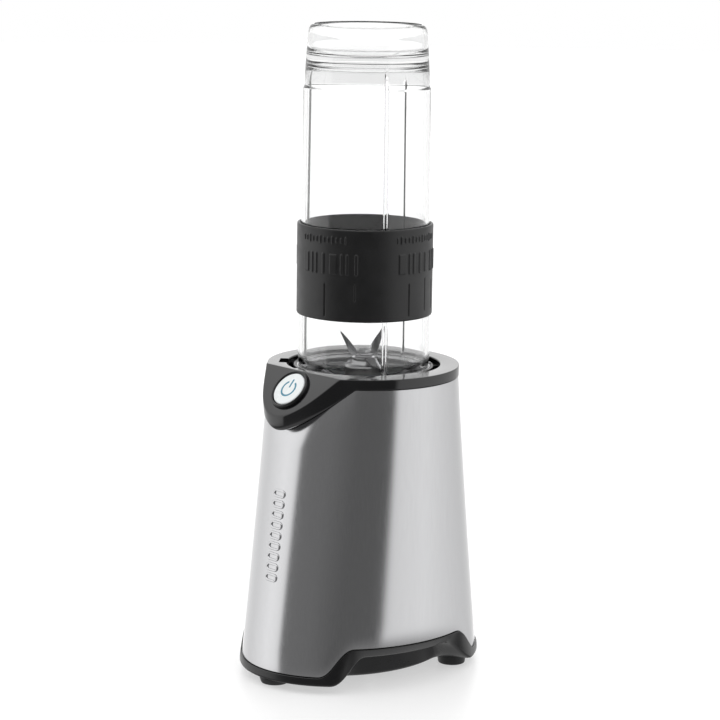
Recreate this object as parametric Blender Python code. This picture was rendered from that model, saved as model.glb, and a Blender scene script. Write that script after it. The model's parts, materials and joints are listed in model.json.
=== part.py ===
"""Countertop personal blender: a tapered motor base, a twist-lock blade unit and a bottle upside down on it.

Units are metres, +Z is up, and the origin is on the floor under the bottle's axis. The front, with
the power button, faces -Y. Every size below is in millimetres times MM.
"""

import math

import bmesh
import bpy
from mathutils import Matrix, Vector

MM = 0.001
GAP = 0.3 * MM

# Motor base: a circle at the collar that opens into an oval at the foot
COLLAR_R = 56.4 * MM
COLLAR_TOP = 182.0 * MM
COLLAR_LOW = 176.0 * MM
COLLAR_WALL = 3.0 * MM
MOUTH_R = 42.0 * MM
SKIN_TOP_R = 56.0 * MM
SKIN_FOOT_X = 61.0 * MM
SKIN_FOOT_Y = 76.0 * MM
SKIN_FOOT_Z = 10.0 * MM
SKIN_WALL = 1.2 * MM

# Chin and facet of the collar, where the button sits
CHIN_HALF_ANGLE = math.radians(43.5)
CHIN_LOW = 149.8 * MM
CHIN_REACH = 12.0 * MM
CHIN_KNEE_Z = 161.8 * MM
CHIN_FLARE = 0.1
CHIN_CORNER = 0.2
CHIN_POWER = 2.5
FACET_TILT = math.radians(42.0)
FACET_POINT = Vector((0.0, -56.0 * MM, 172.0 * MM))
FACET_NORMAL = Vector((0.0, -math.cos(FACET_TILT), math.sin(FACET_TILT)))
FACET_PLATE = 4.5 * MM

# Power button, along the facet's normal
BUTTON_R = 10.8 * MM
BUTTON_PROUD = 1.9 * MM
BEZEL_PROUD = 2.4 * MM
POCKET_R = 13.5 * MM
POCKET_DEPTH = 3.2 * MM
STEM_R = 2.5 * MM

# Arches in the sides of the foot, measured from the front
ARCH_FROM = math.radians(37.0)
ARCH_TO = math.radians(126.0)
ARCH_BLEND = math.radians(17.0)
ARCH_RISE = 16.5 * MM
RIM_LOW = 4.8 * MM
RIM_PROUD = 1.0 * MM
RIM_NARROWING = 1.0 * MM
PAN_LOW = 5.0 * MM
PAN_X = 42.0 * MM
PAN_Y = 56.0 * MM
PAN_FLOOR = 3.0 * MM
SCREW_SINK = 6.7 * MM
SCREW_REACH = 34.0 * MM
FRONT_FOOT = (0.0, -66.0 * MM)
REAR_FOOT = (37.0 * MM, 41.0 * MM)
REAR_FOOT_TOP = 19.5 * MM

# Inlet for the mains lead, at the rear
GLAND_R = 6.0 * MM
GLAND_Z = 34.0 * MM

# Recess for the blade unit, with its bayonet
NOTCH_R = 45.0 * MM
MOUTH_NOTCH_HALF_ANGLE = math.radians(32.0)
SLIT_END_R = 49.4 * MM
SLIT_WIDTH = 13.0 * MM
NOTCH_HALF_ANGLE = math.radians(15.0)
NOTCH_POLAR = (math.radians(-135.0), math.radians(45.0))
TWIST = math.radians(24.0)
CUP_FLOOR = 152.0 * MM
CUP_TOP = 178.7 * MM
CUP_OUTER_R = 45.3 * MM
CUP_BORE_R = 16.0 * MM
PLUNGER_R = 1.6 * MM
PLUNGER_RADIAL = 44.1 * MM
PLUNGER_LOW = 137.0 * MM
PLUNGER_LEAD = math.radians(3.0)
SWITCH_TOP = 134.0 * MM
PRESS = 2.0 * MM

# Blade unit and bottle
HOLDER_R = 41.0 * MM
HOLDER_BORE_R = 38.4 * MM
HOLDER_LOW = 158.0 * MM
HOLDER_TOP = 181.0 * MM
HOLDER_FLOOR = 162.0 * MM
LUG_R = 44.2 * MM
LUG_LOW = 160.0 * MM
LUG_HIGH = 166.0 * MM
LUG_HALF_ANGLE = math.radians(12.0)
SPINDLE_R = 2.5 * MM
BLADE_TIP_R = 18.5 * MM
BLADE_PLATE = 1.2 * MM
LOWER_BLADE_Z = 184.3 * MM
UPPER_BLADE_Z = 187.0 * MM
BOTTLE_TOP = 379.3 * MM
BOTTLE_MOUTH = 167.2 * MM
BOTTLE_WALL = 2.2 * MM
BOTTLE_NECK_R = 36.6 * MM
THREAD_R = 38.0 * MM
SLEEVE_LOW = 212.0 * MM
SLEEVE_HIGH = 265.0 * MM
SLEEVE_R = 40.3 * MM
RIB_POLAR = math.radians(-23.2)

# Motor inside the cage
CAGE_R = 38.5 * MM
CAGE_WALL = 2.3 * MM
SHAFT_R = 4.0 * MM
ARMATURE_R = 18.5 * MM
STACK_LOW = 78.0 * MM
STACK_HIGH = 112.0 * MM
COMMUTATOR_R = 12.0 * MM
COMMUTATOR_LOW = 58.8 * MM
BEARING_R = 11.0 * MM
BEARING_WIDTH = 7.0 * MM
TOP_BRACKET_Z = 127.0 * MM
LOW_BRACKET_Z = 51.0 * MM
JAW_INNER = 6.5 * MM
JAW_OUTER = 13.5 * MM
JAW_HALF_ANGLE = math.radians(7.0)

ROUND = 32
SMALL = 14
TINY = 12
BASE_STEPS = 60
BUTTON_STEPS = 24

MATERIALS = {
    "brushed_steel": ((0.55, 0.55, 0.56), 0.32, 1.0),
    "gloss_black": ((0.012, 0.012, 0.013), 0.12, 0.0),
    "satin_black": ((0.02, 0.02, 0.021), 0.45, 0.0),
    "rubber": ((0.03, 0.03, 0.032), 0.8, 0.0),
    "clear_tritan": ((0.92, 0.95, 0.96), 0.05, 0.0),
    "button_white": ((0.85, 0.9, 0.91), 0.25, 0.0),
    "teal": ((0.02, 0.3, 0.4), 0.4, 0.0),
    "blade_steel": ((0.7, 0.7, 0.7), 0.2, 1.0),
    "copper": ((0.72, 0.33, 0.16), 0.35, 1.0),
    "lamination": ((0.32, 0.33, 0.35), 0.5, 1.0),
    "white_nylon": ((0.75, 0.75, 0.72), 0.5, 0.0),
    "brass": ((0.7, 0.5, 0.2), 0.3, 1.0),
    "carbon": ((0.04, 0.04, 0.04), 0.7, 0.0),
    "board_green": ((0.03, 0.2, 0.07), 0.5, 0.0),
    "silicone": ((0.4, 0.42, 0.42), 0.6, 0.0),
}


# ---------------------------------------------------------------- modelling tools


def clear_scene():
    for obj in list(bpy.data.objects):
        bpy.data.objects.remove(obj, do_unlink=True)


def material(name):
    made = bpy.data.materials.get(name)
    if made:
        return made
    colour, roughness, metallic = MATERIALS[name]
    made = bpy.data.materials.new(name)
    made.use_nodes = True
    shader = made.node_tree.nodes["Principled BSDF"]
    shader.inputs["Base Color"].default_value = (*colour, 1.0)
    shader.inputs["Roughness"].default_value = roughness
    shader.inputs["Metallic"].default_value = metallic
    if name == "clear_tritan":
        shader.inputs["Transmission Weight"].default_value = 1.0
    return made


def make(name, shape, look, matrix=None, parent=None):
    """An object of this name from a bmesh, with its own copy of the look."""
    bmesh.ops.recalc_face_normals(shape, faces=shape.faces)
    mesh = bpy.data.meshes.new(name)
    shape.to_mesh(mesh)
    shape.free()
    mesh.shade_smooth()
    mesh.set_sharp_from_angle(angle=math.radians(35.0))
    own = material(look).copy()
    own.name = f"{name}_{look}"
    mesh.materials.append(own)
    obj = bpy.data.objects.new(name, mesh)
    bpy.context.scene.collection.objects.link(obj)
    obj.parent = parent
    if matrix is not None:
        obj.matrix_basis = matrix
    return obj


def helper(name, shape, matrix=None):
    """A tool body for a Boolean, kept out of the model."""
    obj = make(name, shape, "satin_black", matrix)
    obj.hide_render = True
    obj.display_type = "WIRE"
    return obj


def boolean(obj, tool, operation="DIFFERENCE", solver="EXACT"):
    step = obj.modifiers.new(f"{operation.lower()}_{tool.name}", "BOOLEAN")
    step.operation = operation
    step.object = tool
    step.solver = solver


def turned(outline, steps=ROUND):
    """A body of revolution about Z from a closed outline of (radius, height) points."""
    shape = bmesh.new()
    points = [shape.verts.new((radius, 0.0, height)) for radius, height in outline]
    edges = []
    for index, point in enumerate(points):
        other = points[(index + 1) % len(points)]
        if point.co.x > 0.0 or other.co.x > 0.0:
            edges.append(shape.edges.new((point, other)))
    bmesh.ops.spin(
        shape,
        geom=points + edges,
        cent=(0.0, 0.0, 0.0),
        axis=(0.0, 0.0, 1.0),
        angle=math.tau,
        steps=steps,
        use_merge=True,
    )
    bmesh.ops.remove_doubles(shape, verts=shape.verts, dist=0.001 * MM)
    return shape


def ring(inner, outer, low, high, steps=ROUND):
    return turned([(inner, low), (outer, low), (outer, high), (inner, high)], steps)


def disc(radius, low, high, steps=ROUND):
    return turned([(0.0, low), (radius, low), (radius, high), (0.0, high)], steps)


def box(size, centre):
    shape = bmesh.new()
    bmesh.ops.create_cube(shape, size=1.0, matrix=Matrix.Translation(centre) @ Matrix.Diagonal((*size, 1.0)))
    return shape


def prism(outline, low, high):
    """An upright body from a closed outline of (x, y) points."""
    shape = bmesh.new()
    face = shape.faces.new([shape.verts.new((x, y, low)) for x, y in outline])
    lifted = bmesh.ops.extrude_face_region(shape, geom=[face])
    points = [item for item in lifted["geom"] if isinstance(item, bmesh.types.BMVert)]
    bmesh.ops.translate(shape, verts=points, vec=(0.0, 0.0, high - low))
    return shape


def sector_outline(inner, outer, polar, half_angle, steps=6):
    """Points round a piece of a ring, centred on the angle polar."""
    angles = [polar + half_angle * (2.0 * step / steps - 1.0) for step in range(steps + 1)]
    outside = [(outer * math.cos(angle), outer * math.sin(angle)) for angle in angles]
    inside = [(inner * math.cos(angle), inner * math.sin(angle)) for angle in reversed(angles)]
    return outside + inside


def merged(*shapes):
    """Several bmeshes as one, for a tool body that has separate parts."""
    whole = shapes[0]
    for shape in shapes[1:]:
        mesh = bpy.data.meshes.new("part_of_tool")
        shape.to_mesh(mesh)
        shape.free()
        whole.from_mesh(mesh)
        bpy.data.meshes.remove(mesh)
    return whole


def shell_of_rings(rings, closed_axis=False):
    """A closed body whose surface runs through these rings of points, in order and back to the first.

    With closed_axis, the first and the last ring are single points on the axis instead.
    """
    shape = bmesh.new()
    loops = [[shape.verts.new(point) for point in points] for points in rings]
    pairs = list(zip(loops, loops[1:]))
    if not closed_axis:
        pairs.append((loops[-1], loops[0]))
    for lower, upper in pairs:
        count = max(len(lower), len(upper))
        for index in range(count):
            corners = []
            for loop, step in ((lower, index), (lower, index + 1), (upper, index + 1), (upper, index)):
                point = loop[step % len(loop)]
                if point not in corners:
                    corners.append(point)
            shape.faces.new(corners)
    return shape


def facet_frame():
    """The button's frame: Z along the facet's outward normal, Y up the slope."""
    up_slope = Vector((0.0, math.sin(FACET_TILT), math.cos(FACET_TILT)))
    across = up_slope.cross(FACET_NORMAL)
    frame = Matrix.Identity(4)
    for column, axis in enumerate((across, up_slope, FACET_NORMAL)):
        frame.col[column][:3] = axis
    frame.col[3][:3] = FACET_POINT
    return frame


# ---------------------------------------------------------------- base surface


def smooth(value):
    value = min(max(value, 0.0), 1.0)
    return value * value * (3.0 - 2.0 * value)


def from_front(polar):
    """The angle between this polar angle and the front, from 0 to pi."""
    return abs((polar + math.pi / 2.0 + math.pi) % math.tau - math.pi)


def arch(polar):
    """0 on the front and rear skirts and 1 over the side arches."""
    angle = from_front(polar)
    rise = smooth((angle - ARCH_FROM) / ARCH_BLEND + 0.5)
    fall = smooth((angle - ARCH_TO) / ARCH_BLEND + 0.5)
    return rise - fall


def skin_radius(polar, height):
    """The steel's outer radius: a straight taper from the foot's oval to the collar's circle."""
    oval = 1.0 / math.hypot(math.cos(polar) / SKIN_FOOT_X, math.sin(polar) / SKIN_FOOT_Y)
    share = (COLLAR_LOW - height) / (COLLAR_LOW - SKIN_FOOT_Z)
    return SKIN_TOP_R + (oval - SKIN_TOP_R) * share


def skin_low(polar):
    return SKIN_FOOT_Z + ARCH_RISE * arch(polar)


def chin_low(polar):
    """The collar's lower edge, which dips under the button."""
    share = min(from_front(polar) / CHIN_HALF_ANGLE, 1.0)
    span = math.hypot(1.0, CHIN_CORNER) - CHIN_CORNER
    return CHIN_LOW + (COLLAR_LOW - CHIN_LOW) * (math.hypot(share, CHIN_CORNER) - CHIN_CORNER) / span


def collar_radius(polar, height):
    """The collar's outer radius, with the chin's bulge at the front."""
    share = min(from_front(polar) / CHIN_HALF_ANGLE, 1.0)
    bulge = max(math.cos(share * math.pi / 2.0), 0.0) ** CHIN_POWER
    return COLLAR_R + bulge * (CHIN_REACH + CHIN_FLARE * (height - CHIN_KNEE_Z))


def around(radius_of, height_of, steps=BASE_STEPS):
    """A ring of points whose radius and height follow the angle."""
    points = []
    for step in range(steps):
        polar = math.tau * step / steps
        height = height_of(polar)
        radius = radius_of(polar, height)
        points.append((radius * math.cos(polar), radius * math.sin(polar), height))
    return points


def level(height):
    """A height that is the same at every angle."""
    return lambda _polar: height


def circle(radius):
    """A radius that is the same at every angle and height."""
    return lambda _polar, _height: radius


def inset(radius_of, depth):
    """This radius, moved in by depth."""
    return lambda polar, height: radius_of(polar, height) - depth


def raised(height_of, rise):
    """This height, moved up by rise."""
    return lambda polar: height_of(polar) + rise


# ---------------------------------------------------------------- motor base


def skin_high(polar):
    return chin_low(polar) - GAP


def steel_skin():
    """The tapered steel sleeve between the collar and the foot."""
    inner = inset(skin_radius, SKIN_WALL)
    rings = [
        around(skin_radius, skin_low),
        around(skin_radius, skin_high),
        around(inner, skin_high),
        around(inner, skin_low),
    ]
    obj = make("steel_skin", shell_of_rings(rings), "brushed_steel")
    boolean(obj, helper("tool_gland_hole", disc(GLAND_R + GAP, -8.0 * MM, 8.0 * MM, SMALL), gland_frame()))
    return obj


def collar_body(side, drop, top):
    """A body inside this side radius, from drop under the collar's lower edge up to top."""

    def low_of(polar):
        return chin_low(polar) - drop

    rings = [
        [(0.0, 0.0, COLLAR_LOW - drop)],
        around(side, low_of),
        around(side, level(top)),
        [(0.0, 0.0, top)],
    ]
    return shell_of_rings(rings, closed_axis=True)


def collar_inside(polar, height):
    """The collar's inner radius: a wall's thickness in, and under the chin no wider than the steel."""
    return min(collar_radius(polar, height) - COLLAR_WALL, skin_radius(polar, height) - SKIN_WALL)


def facet_cutter(offset):
    """A block whose underside is the facet's plane, moved in along its normal by offset."""
    depth = 60.0 * MM
    return box((120.0 * MM, 120.0 * MM, depth), (0.0, 0.0, depth / 2.0 - offset))


def mouth_cutter():
    low = COLLAR_LOW - 10.0 * MM
    high = COLLAR_TOP + 1.0 * MM
    shapes = [disc(MOUTH_R, low, high)]
    for polar in NOTCH_POLAR:
        outline = sector_outline(MOUTH_R - 3.0 * MM, NOTCH_R, polar, MOUTH_NOTCH_HALF_ANGLE, 12)
        shapes.append(prism(outline, low - 1.0 * MM, high + 1.0 * MM))
    return shapes


def top_collar():
    """The glossy ring round the mouth, with its chin and the flat facet for the button."""
    obj = make("top_collar", collar_body(collar_radius, 0.0, COLLAR_TOP), "gloss_black")
    boolean(obj, helper("tool_facet", facet_cutter(0.0), facet_frame()))
    hollow = helper("tool_collar_hollow", collar_body(collar_inside, 8.0 * MM, COLLAR_TOP - COLLAR_WALL))
    boolean(hollow, helper("tool_facet_inside", facet_cutter(FACET_PLATE), facet_frame()))
    boolean(obj, hollow)
    for index, shape in enumerate(mouth_cutter()):
        boolean(obj, helper(f"tool_mouth_{index}", shape))
    slit = box((SLIT_END_R - MOUTH_R, SLIT_WIDTH, 4.0 * MM), ((SLIT_END_R + MOUTH_R) / 2.0, 0.0, COLLAR_TOP))
    boolean(obj, helper("tool_slit", slit, Matrix.Rotation(NOTCH_POLAR[0], 4, "Z")))
    boolean(obj, helper("tool_pocket", disc(POCKET_R, -POCKET_DEPTH, 10.0 * MM, BUTTON_STEPS), facet_frame()))
    boolean(obj, helper("tool_stem", disc(STEM_R + 0.4 * MM, -12.0 * MM, 0.0, SMALL), facet_frame()))
    return obj


def button_bezel():
    """The dark raised ring round the button, set in the facet's pocket."""
    inner = BUTTON_R + GAP
    outer = POCKET_R - GAP
    low = -POCKET_DEPTH + GAP
    high = BEZEL_PROUD
    outline = [(inner, low), (outer, low), (outer, high - 0.6 * MM), (outer - 0.6 * MM, high), (inner, high)]
    return make("button_bezel", turned(outline, BUTTON_STEPS), "satin_black", facet_frame())


def recess_cup():
    """The cup under the mouth, with two bayonet pockets and a floor round the drive."""
    floor_top = CUP_FLOOR + 3.0 * MM
    outline = [
        (CUP_BORE_R, CUP_FLOOR),
        (CUP_OUTER_R, CUP_FLOOR),
        (CUP_OUTER_R, CUP_TOP),
        (MOUTH_R, CUP_TOP),
        (MOUTH_R, floor_top),
        (CUP_BORE_R, floor_top),
    ]
    obj = make("recess_cup", turned(outline), "satin_black")
    for index, polar in enumerate(NOTCH_POLAR):
        middle = polar - TWIST / 2.0
        half = LUG_HALF_ANGLE + TWIST / 2.0 + math.radians(8.0)
        low = CUP_FLOOR + 0.5 * MM
        block = prism(sector_outline(MOUTH_R + 1.0 * MM, NOTCH_R + 2.6 * MM, middle, half, 8), low, CUP_TOP)
        boolean(obj, helper(f"tool_bayonet_block_{index}", block), "UNION")
        run = LUG_HALF_ANGLE + TWIST / 2.0 + math.radians(3.0)
        track = sector_outline(MOUTH_R - 1.0 * MM, NOTCH_R, middle, run, 8)
        track_low = LUG_LOW - 3.2 * MM
        boolean(obj, helper(f"tool_bayonet_track_{index}", prism(track, track_low, LUG_HIGH + 0.6 * MM)))
        entry = sector_outline(MOUTH_R - 1.0 * MM, NOTCH_R, polar, NOTCH_HALF_ANGLE)
        boolean(obj, helper(f"tool_bayonet_entry_{index}", prism(entry, track_low, CUP_TOP + 1.0 * MM)))
    boolean(obj, helper("tool_cup_facet", facet_cutter(FACET_PLATE + GAP), facet_frame()))
    hole = disc(PLUNGER_R + GAP, CUP_FLOOR - 5.0 * MM, LUG_LOW + PRESS, SMALL)
    boolean(obj, helper("tool_plunger_hole", hole, Matrix.Translation(plunger_place())))
    return obj


def plunger_place():
    """Where the interlock's pin stands: just ahead of a lug that has dropped into its notch."""
    polar = NOTCH_POLAR[1] - LUG_HALF_ANGLE - PLUNGER_LEAD
    return Vector((PLUNGER_RADIAL * math.cos(polar), PLUNGER_RADIAL * math.sin(polar), 0.0))


def interlock_plunger():
    """The safety pin that a lug pushes down as the blade unit is twisted home."""
    head = 3.2 * MM
    head_low = PLUNGER_LOW + 4.0 * MM
    top = LUG_LOW + PRESS - GAP
    outline = [
        (0.0, PLUNGER_LOW),
        (PLUNGER_R, PLUNGER_LOW),
        (PLUNGER_R, head_low),
        (head, head_low),
        (head, head_low + 1.0 * MM),
        (PLUNGER_R, head_low + 1.0 * MM),
        (PLUNGER_R, top - 0.6 * MM),
        (0.0, top),
    ]
    place = Matrix.Translation(plunger_place())
    return make("interlock_plunger", turned(outline, TINY), "white_nylon", place)


def coil(radius, wire, low, high, turns, steps=8, sides=4):
    """A coil spring about Z as one tube with closed ends."""
    count = int(turns * steps)
    rings = []
    for step in range(count + 1):
        angle = math.tau * step / steps
        height = low + wire + (high - low - 2.0 * wire) * step / count
        outward = Vector((math.cos(angle), math.sin(angle), 0.0))
        centre = outward * radius + Vector((0.0, 0.0, height))
        section = []
        for side in range(sides):
            swing = math.tau * side / sides
            upward = Vector((0.0, 0.0, wire * math.sin(swing)))
            section.append(centre + outward * wire * math.cos(swing) + upward)
        rings.append(section)
    shape = bmesh.new()
    loops = [[shape.verts.new(point) for point in section] for section in rings]
    for near, far in zip(loops, loops[1:]):
        for side in range(sides):
            other = (side + 1) % sides
            shape.faces.new((near[side], near[other], far[other], far[side]))
    shape.faces.new(loops[0])
    shape.faces.new(loops[-1])
    return shape


def interlock_spring():
    """The spring between the switch and the pin's head, which lifts the pin again."""
    shape = coil(2.6 * MM, 0.35 * MM, SWITCH_TOP + GAP, PLUNGER_LOW + 4.0 * MM - GAP, 3.0)
    return make("interlock_spring", shape, "blade_steel", Matrix.Translation(plunger_place()))


def interlock_switch():
    """The microswitch under the safety pin."""
    place = plunger_place()
    height = 9.0 * MM
    shape = box((7.0 * MM, 10.0 * MM, height), (0.0, 0.0, SWITCH_TOP - height / 2.0))
    turn = Matrix.Rotation(math.atan2(place.y, place.x), 4, "Z")
    return make("interlock_switch", shape, "satin_black", Matrix.Translation(place) @ turn)


def rim_radius(polar, height):
    return skin_radius(polar, height) + RIM_PROUD


def rim_low(polar):
    return RIM_LOW + (ARCH_RISE - RIM_NARROWING) * arch(polar)


def pan_radius(polar, _height):
    return 1.0 / math.hypot(math.cos(polar) / PAN_X, math.sin(polar) / PAN_Y)


def pan_shoulder(polar):
    return PAN_LOW + 1.2 * MM * arch(polar)


def bottom_housing():
    """The black moulding under the steel: a rim that follows the arches and a flat pan between them."""
    rim_top = raised(skin_low, -GAP)
    shelf = raised(rim_low, PAN_FLOOR)
    rings = [
        [(0.0, 0.0, PAN_LOW)],
        around(inset(pan_radius, 1.5 * MM), level(PAN_LOW)),
        around(pan_radius, pan_shoulder),
        around(inset(pan_radius, -2.5 * MM), rim_low),
        around(inset(rim_radius, 1.8 * MM), rim_low),
        around(rim_radius, raised(rim_low, 1.5 * MM)),
        around(rim_radius, rim_top),
        around(inset(rim_radius, 5.0 * MM), rim_top),
        around(inset(rim_radius, 6.0 * MM), shelf),
        around(pan_radius, shelf),
        around(inset(pan_radius, PAN_FLOOR), level(PAN_LOW + PAN_FLOOR)),
        [(0.0, 0.0, PAN_LOW + PAN_FLOOR)],
    ]
    obj = make("bottom_housing", shell_of_rings(rings, closed_axis=True), "satin_black")
    boolean(obj, helper("tool_vents", vent_slots()), solver="MANIFOLD")
    for name, side in (("left", -1.0), ("right", 1.0)):
        well = turned(stepped(9.8 * MM, 10.4 * MM, 7.9 * MM, REAR_FOOT_TOP + GAP), SMALL)
        place = Matrix.Translation((side * REAR_FOOT[0], REAR_FOOT[1], 0.0))
        boolean(obj, helper(f"tool_foot_well_{name}", well, place), solver="MANIFOLD")
    for index, place in enumerate(screw_places()):
        bore = turned(stepped(3.8 * MM, SCREW_SINK, 2.1 * MM, 20.0 * MM), TINY)
        boolean(obj, helper(f"tool_screw_bore_{index}", bore, Matrix.Translation(place)), solver="MANIFOLD")
    return obj


def stepped(wide, step, narrow, high):
    """The outline of a plug from the floor, wide up to step and narrow above it."""
    return [(0.0, 0.0), (wide, 0.0), (wide, step), (narrow, step), (narrow, high), (0.0, high)]


def vent_slots():
    """Slots through the pan's floor, under the fan."""
    slots = []
    for row in range(-2, 3):
        length = 34.0 * MM - 5.0 * MM * abs(row)
        slots.append(box((length, 3.0 * MM, 20.0 * MM), (0.0, row * 8.0 * MM, 5.0 * MM)))
    return merged(*slots)


def screw_places():
    angles = [math.radians(90.0 + 120.0 * index) for index in range(3)]
    return [Vector((SCREW_REACH * math.cos(angle), SCREW_REACH * math.sin(angle), 0.0)) for angle in angles]


def base_screws():
    head_low = PAN_LOW + 0.3 * MM
    for index, place in enumerate(screw_places()):
        outline = [
            (0.0, head_low),
            (3.3 * MM, head_low),
            (3.3 * MM, head_low + 1.2 * MM),
            (1.5 * MM, head_low + 1.2 * MM),
            (1.5 * MM, 14.0 * MM),
            (0.0, 15.0 * MM),
        ]
        make(f"base_screw_{index + 1}", turned(outline, TINY), "blade_steel", Matrix.Translation(place))


def rubber_feet():
    """Three cone feet: one under the front skirt and two in the mouths of the arches."""
    side_x, side_y = REAR_FOOT
    places = {
        "rubber_foot_front": (FRONT_FOOT[0], FRONT_FOOT[1], RIM_LOW - GAP),
        "rubber_foot_right": (side_x, side_y, REAR_FOOT_TOP),
        "rubber_foot_left": (-side_x, side_y, REAR_FOOT_TOP),
    }
    for name, (x, y, top) in places.items():
        outline = [(0.0, 0.0), (7.9 * MM, 0.0), (8.3 * MM, 0.5 * MM)]
        if top > 10.0 * MM:
            outline += [(9.4 * MM, 8.6 * MM), (9.4 * MM, 10.0 * MM), (7.5 * MM, 10.0 * MM), (7.5 * MM, top)]
        else:
            outline += [(9.2 * MM, top - 1.0 * MM), (9.2 * MM, top)]
        outline.append((0.0, top))
        make(name, turned(outline, SMALL), "rubber", Matrix.Translation((x, y, 0.0)))


def gland_frame():
    """The cord inlet's frame at the rear: Z points square out of the tapered steel."""
    surface = skin_radius(math.pi / 2.0, GLAND_Z)
    taper = math.atan2(SKIN_FOOT_Y - SKIN_TOP_R, COLLAR_LOW - SKIN_FOOT_Z)
    return Matrix.Translation((0.0, surface, GLAND_Z)) @ Matrix.Rotation(taper - math.pi / 2.0, 4, "X")


def cord_gland():
    """The bushing in the rear wall that a mains lead would pass through."""
    outline = [
        (3.4 * MM, -9.0 * MM),
        (GLAND_R, -9.0 * MM),
        (GLAND_R, 0.3 * MM),
        (8.6 * MM, 0.3 * MM),
        (8.0 * MM, 1.3 * MM),
        (3.4 * MM, 1.3 * MM),
    ]
    return make("cord_gland", turned(outline, SMALL), "rubber", gland_frame())


# ---------------------------------------------------------------- power button


def button_cap(parent):
    """The round cap, with the stem that reaches the switch."""
    face = BUTTON_PROUD
    back = face - 2.6 * MM
    outline = [
        (0.0, -5.6 * MM),
        (STEM_R, -5.6 * MM),
        (STEM_R, back),
        (BUTTON_R - 0.4 * MM, back),
        (BUTTON_R, back + 0.4 * MM),
        (BUTTON_R, face - 0.5 * MM),
        (BUTTON_R - 0.6 * MM, face),
        (6.5 * MM, face),
        (6.5 * MM, face - 0.8 * MM),
        (0.0, face - 0.8 * MM),
    ]
    return make("button_cap", turned(outline, BUTTON_STEPS), "button_white", parent=parent)


def power_symbol(parent):
    """The round insert in the cap that carries the power sign."""
    face = BUTTON_PROUD
    shape = disc(6.2 * MM, face - 0.5 * MM, face, SMALL)
    return make("power_symbol", shape, "teal", parent=parent)


def power_switch():
    """The tact switch behind the facet, whose well takes the button's stem."""
    outline = [
        (0.0, -9.4 * MM),
        (4.2 * MM, -9.4 * MM),
        (4.2 * MM, -5.6 * MM),
        (STEM_R + 0.4 * MM, -5.6 * MM),
        (STEM_R + 0.4 * MM, -7.4 * MM),
        (0.0, -7.4 * MM),
    ]
    return make("power_switch", turned(outline, TINY), "satin_black", facet_frame())


def power_button():
    hinge = bpy.data.objects.new("power_button_axis", None)
    bpy.context.scene.collection.objects.link(hinge)
    hinge.matrix_basis = facet_frame()
    button_cap(hinge)
    power_symbol(hinge)


# ---------------------------------------------------------------- motor


def motor_cage():
    """The moulded tube that carries the motor, open at four sides for the air."""
    inner = CAGE_R - CAGE_WALL
    low = RIM_LOW + 0.2 * MM + PAN_FLOOR + 0.4 * MM
    flange = low + 8.0 * MM
    outline = [
        (30.0 * MM, low),
        (CAGE_R, low),
        (CAGE_R, CUP_FLOOR - GAP),
        (inner, CUP_FLOOR - GAP),
        (inner, flange),
        (30.0 * MM, flange),
    ]
    obj = make("motor_cage", turned(outline, 40), "white_nylon")
    for index in range(2):
        window = box((120.0 * MM, 24.0 * MM, 34.0 * MM), (0.0, 0.0, 40.0 * MM))
        turn = Matrix.Rotation(math.radians(45.0 + 90.0 * index), 4, "Z")
        boolean(obj, helper(f"tool_cage_window_{index}", window, turn))
    for index, place in enumerate(screw_places()):
        bore = disc(1.8 * MM, 0.0, 15.6 * MM, TINY)
        boolean(obj, helper(f"tool_cage_bore_{index}", bore, Matrix.Translation(place)))
    return obj


def bracket(name, low, hub_side):
    """A flat bearing bracket across the cage, with a raised seat for its bearing."""
    inner = BEARING_R + GAP
    reach = CAGE_R - CAGE_WALL - GAP
    high = low + 3.0 * MM
    seat = low + BEARING_WIDTH
    outline = [(inner, low), (reach, low), (reach, high), (14.5 * MM, high), (14.5 * MM, seat), (inner, seat)]
    if hub_side < 0:
        outline = [(radius, 2.0 * low + 3.0 * MM - height) for radius, height in outline]
    return make(name, turned(outline, 32), "lamination")


def bearing(name, low):
    inner = SHAFT_R + GAP
    outline = [
        (inner, low),
        (BEARING_R - 0.6 * MM, low),
        (BEARING_R, low + 0.6 * MM),
        (BEARING_R, low + BEARING_WIDTH - 0.6 * MM),
        (BEARING_R - 0.6 * MM, low + BEARING_WIDTH),
        (inner, low + BEARING_WIDTH),
    ]
    return make(name, turned(outline, SMALL), "blade_steel")


def stator_core():
    """The laminated stack: a yoke with two poles, front and rear."""
    pole_half = math.radians(27.0)
    yoke = 31.2 * MM
    steps = 40

    def pole_radius(polar, _height):
        from_pole = abs((polar + math.pi) % math.pi - math.pi / 2.0)
        return ARMATURE_R + 0.8 * MM if from_pole < pole_half else yoke

    outer = circle(CAGE_R - CAGE_WALL - 2.0 * GAP)
    rings = [
        around(outer, level(STACK_LOW), steps),
        around(outer, level(STACK_HIGH), steps),
        around(pole_radius, level(STACK_HIGH), steps),
        around(pole_radius, level(STACK_LOW), steps),
    ]
    return make("stator_core", shell_of_rings(rings), "lamination")


def field_coil(name, side):
    """One winding round a pole, as a rounded rectangular ring."""
    thick = 4.0 * MM
    half_x = 19.2 * MM
    half_z = (STACK_HIGH - STACK_LOW) / 2.0 + 5.6 * MM
    middle = (STACK_HIGH + STACK_LOW) / 2.0
    near = 19.9 * MM

    def loop(inset, depth):
        corner = 4.0 * MM
        points = []
        for quarter in range(4):
            sign_x = 1.0 if quarter in (0, 3) else -1.0
            sign_z = 1.0 if quarter in (0, 1) else -1.0
            for step in range(4):
                swing = math.radians(90.0 * quarter + 30.0 * step)
                x = sign_x * (half_x - inset - corner) + corner * math.cos(swing)
                z = sign_z * (half_z - inset - corner) + corner * math.sin(swing)
                points.append((x, side * depth, middle + z))
        return points

    rings = [loop(0.0, near), loop(0.0, near + thick), loop(3.9 * MM, near + thick), loop(3.9 * MM, near)]
    return make(name, shell_of_rings(rings), "copper")


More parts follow.
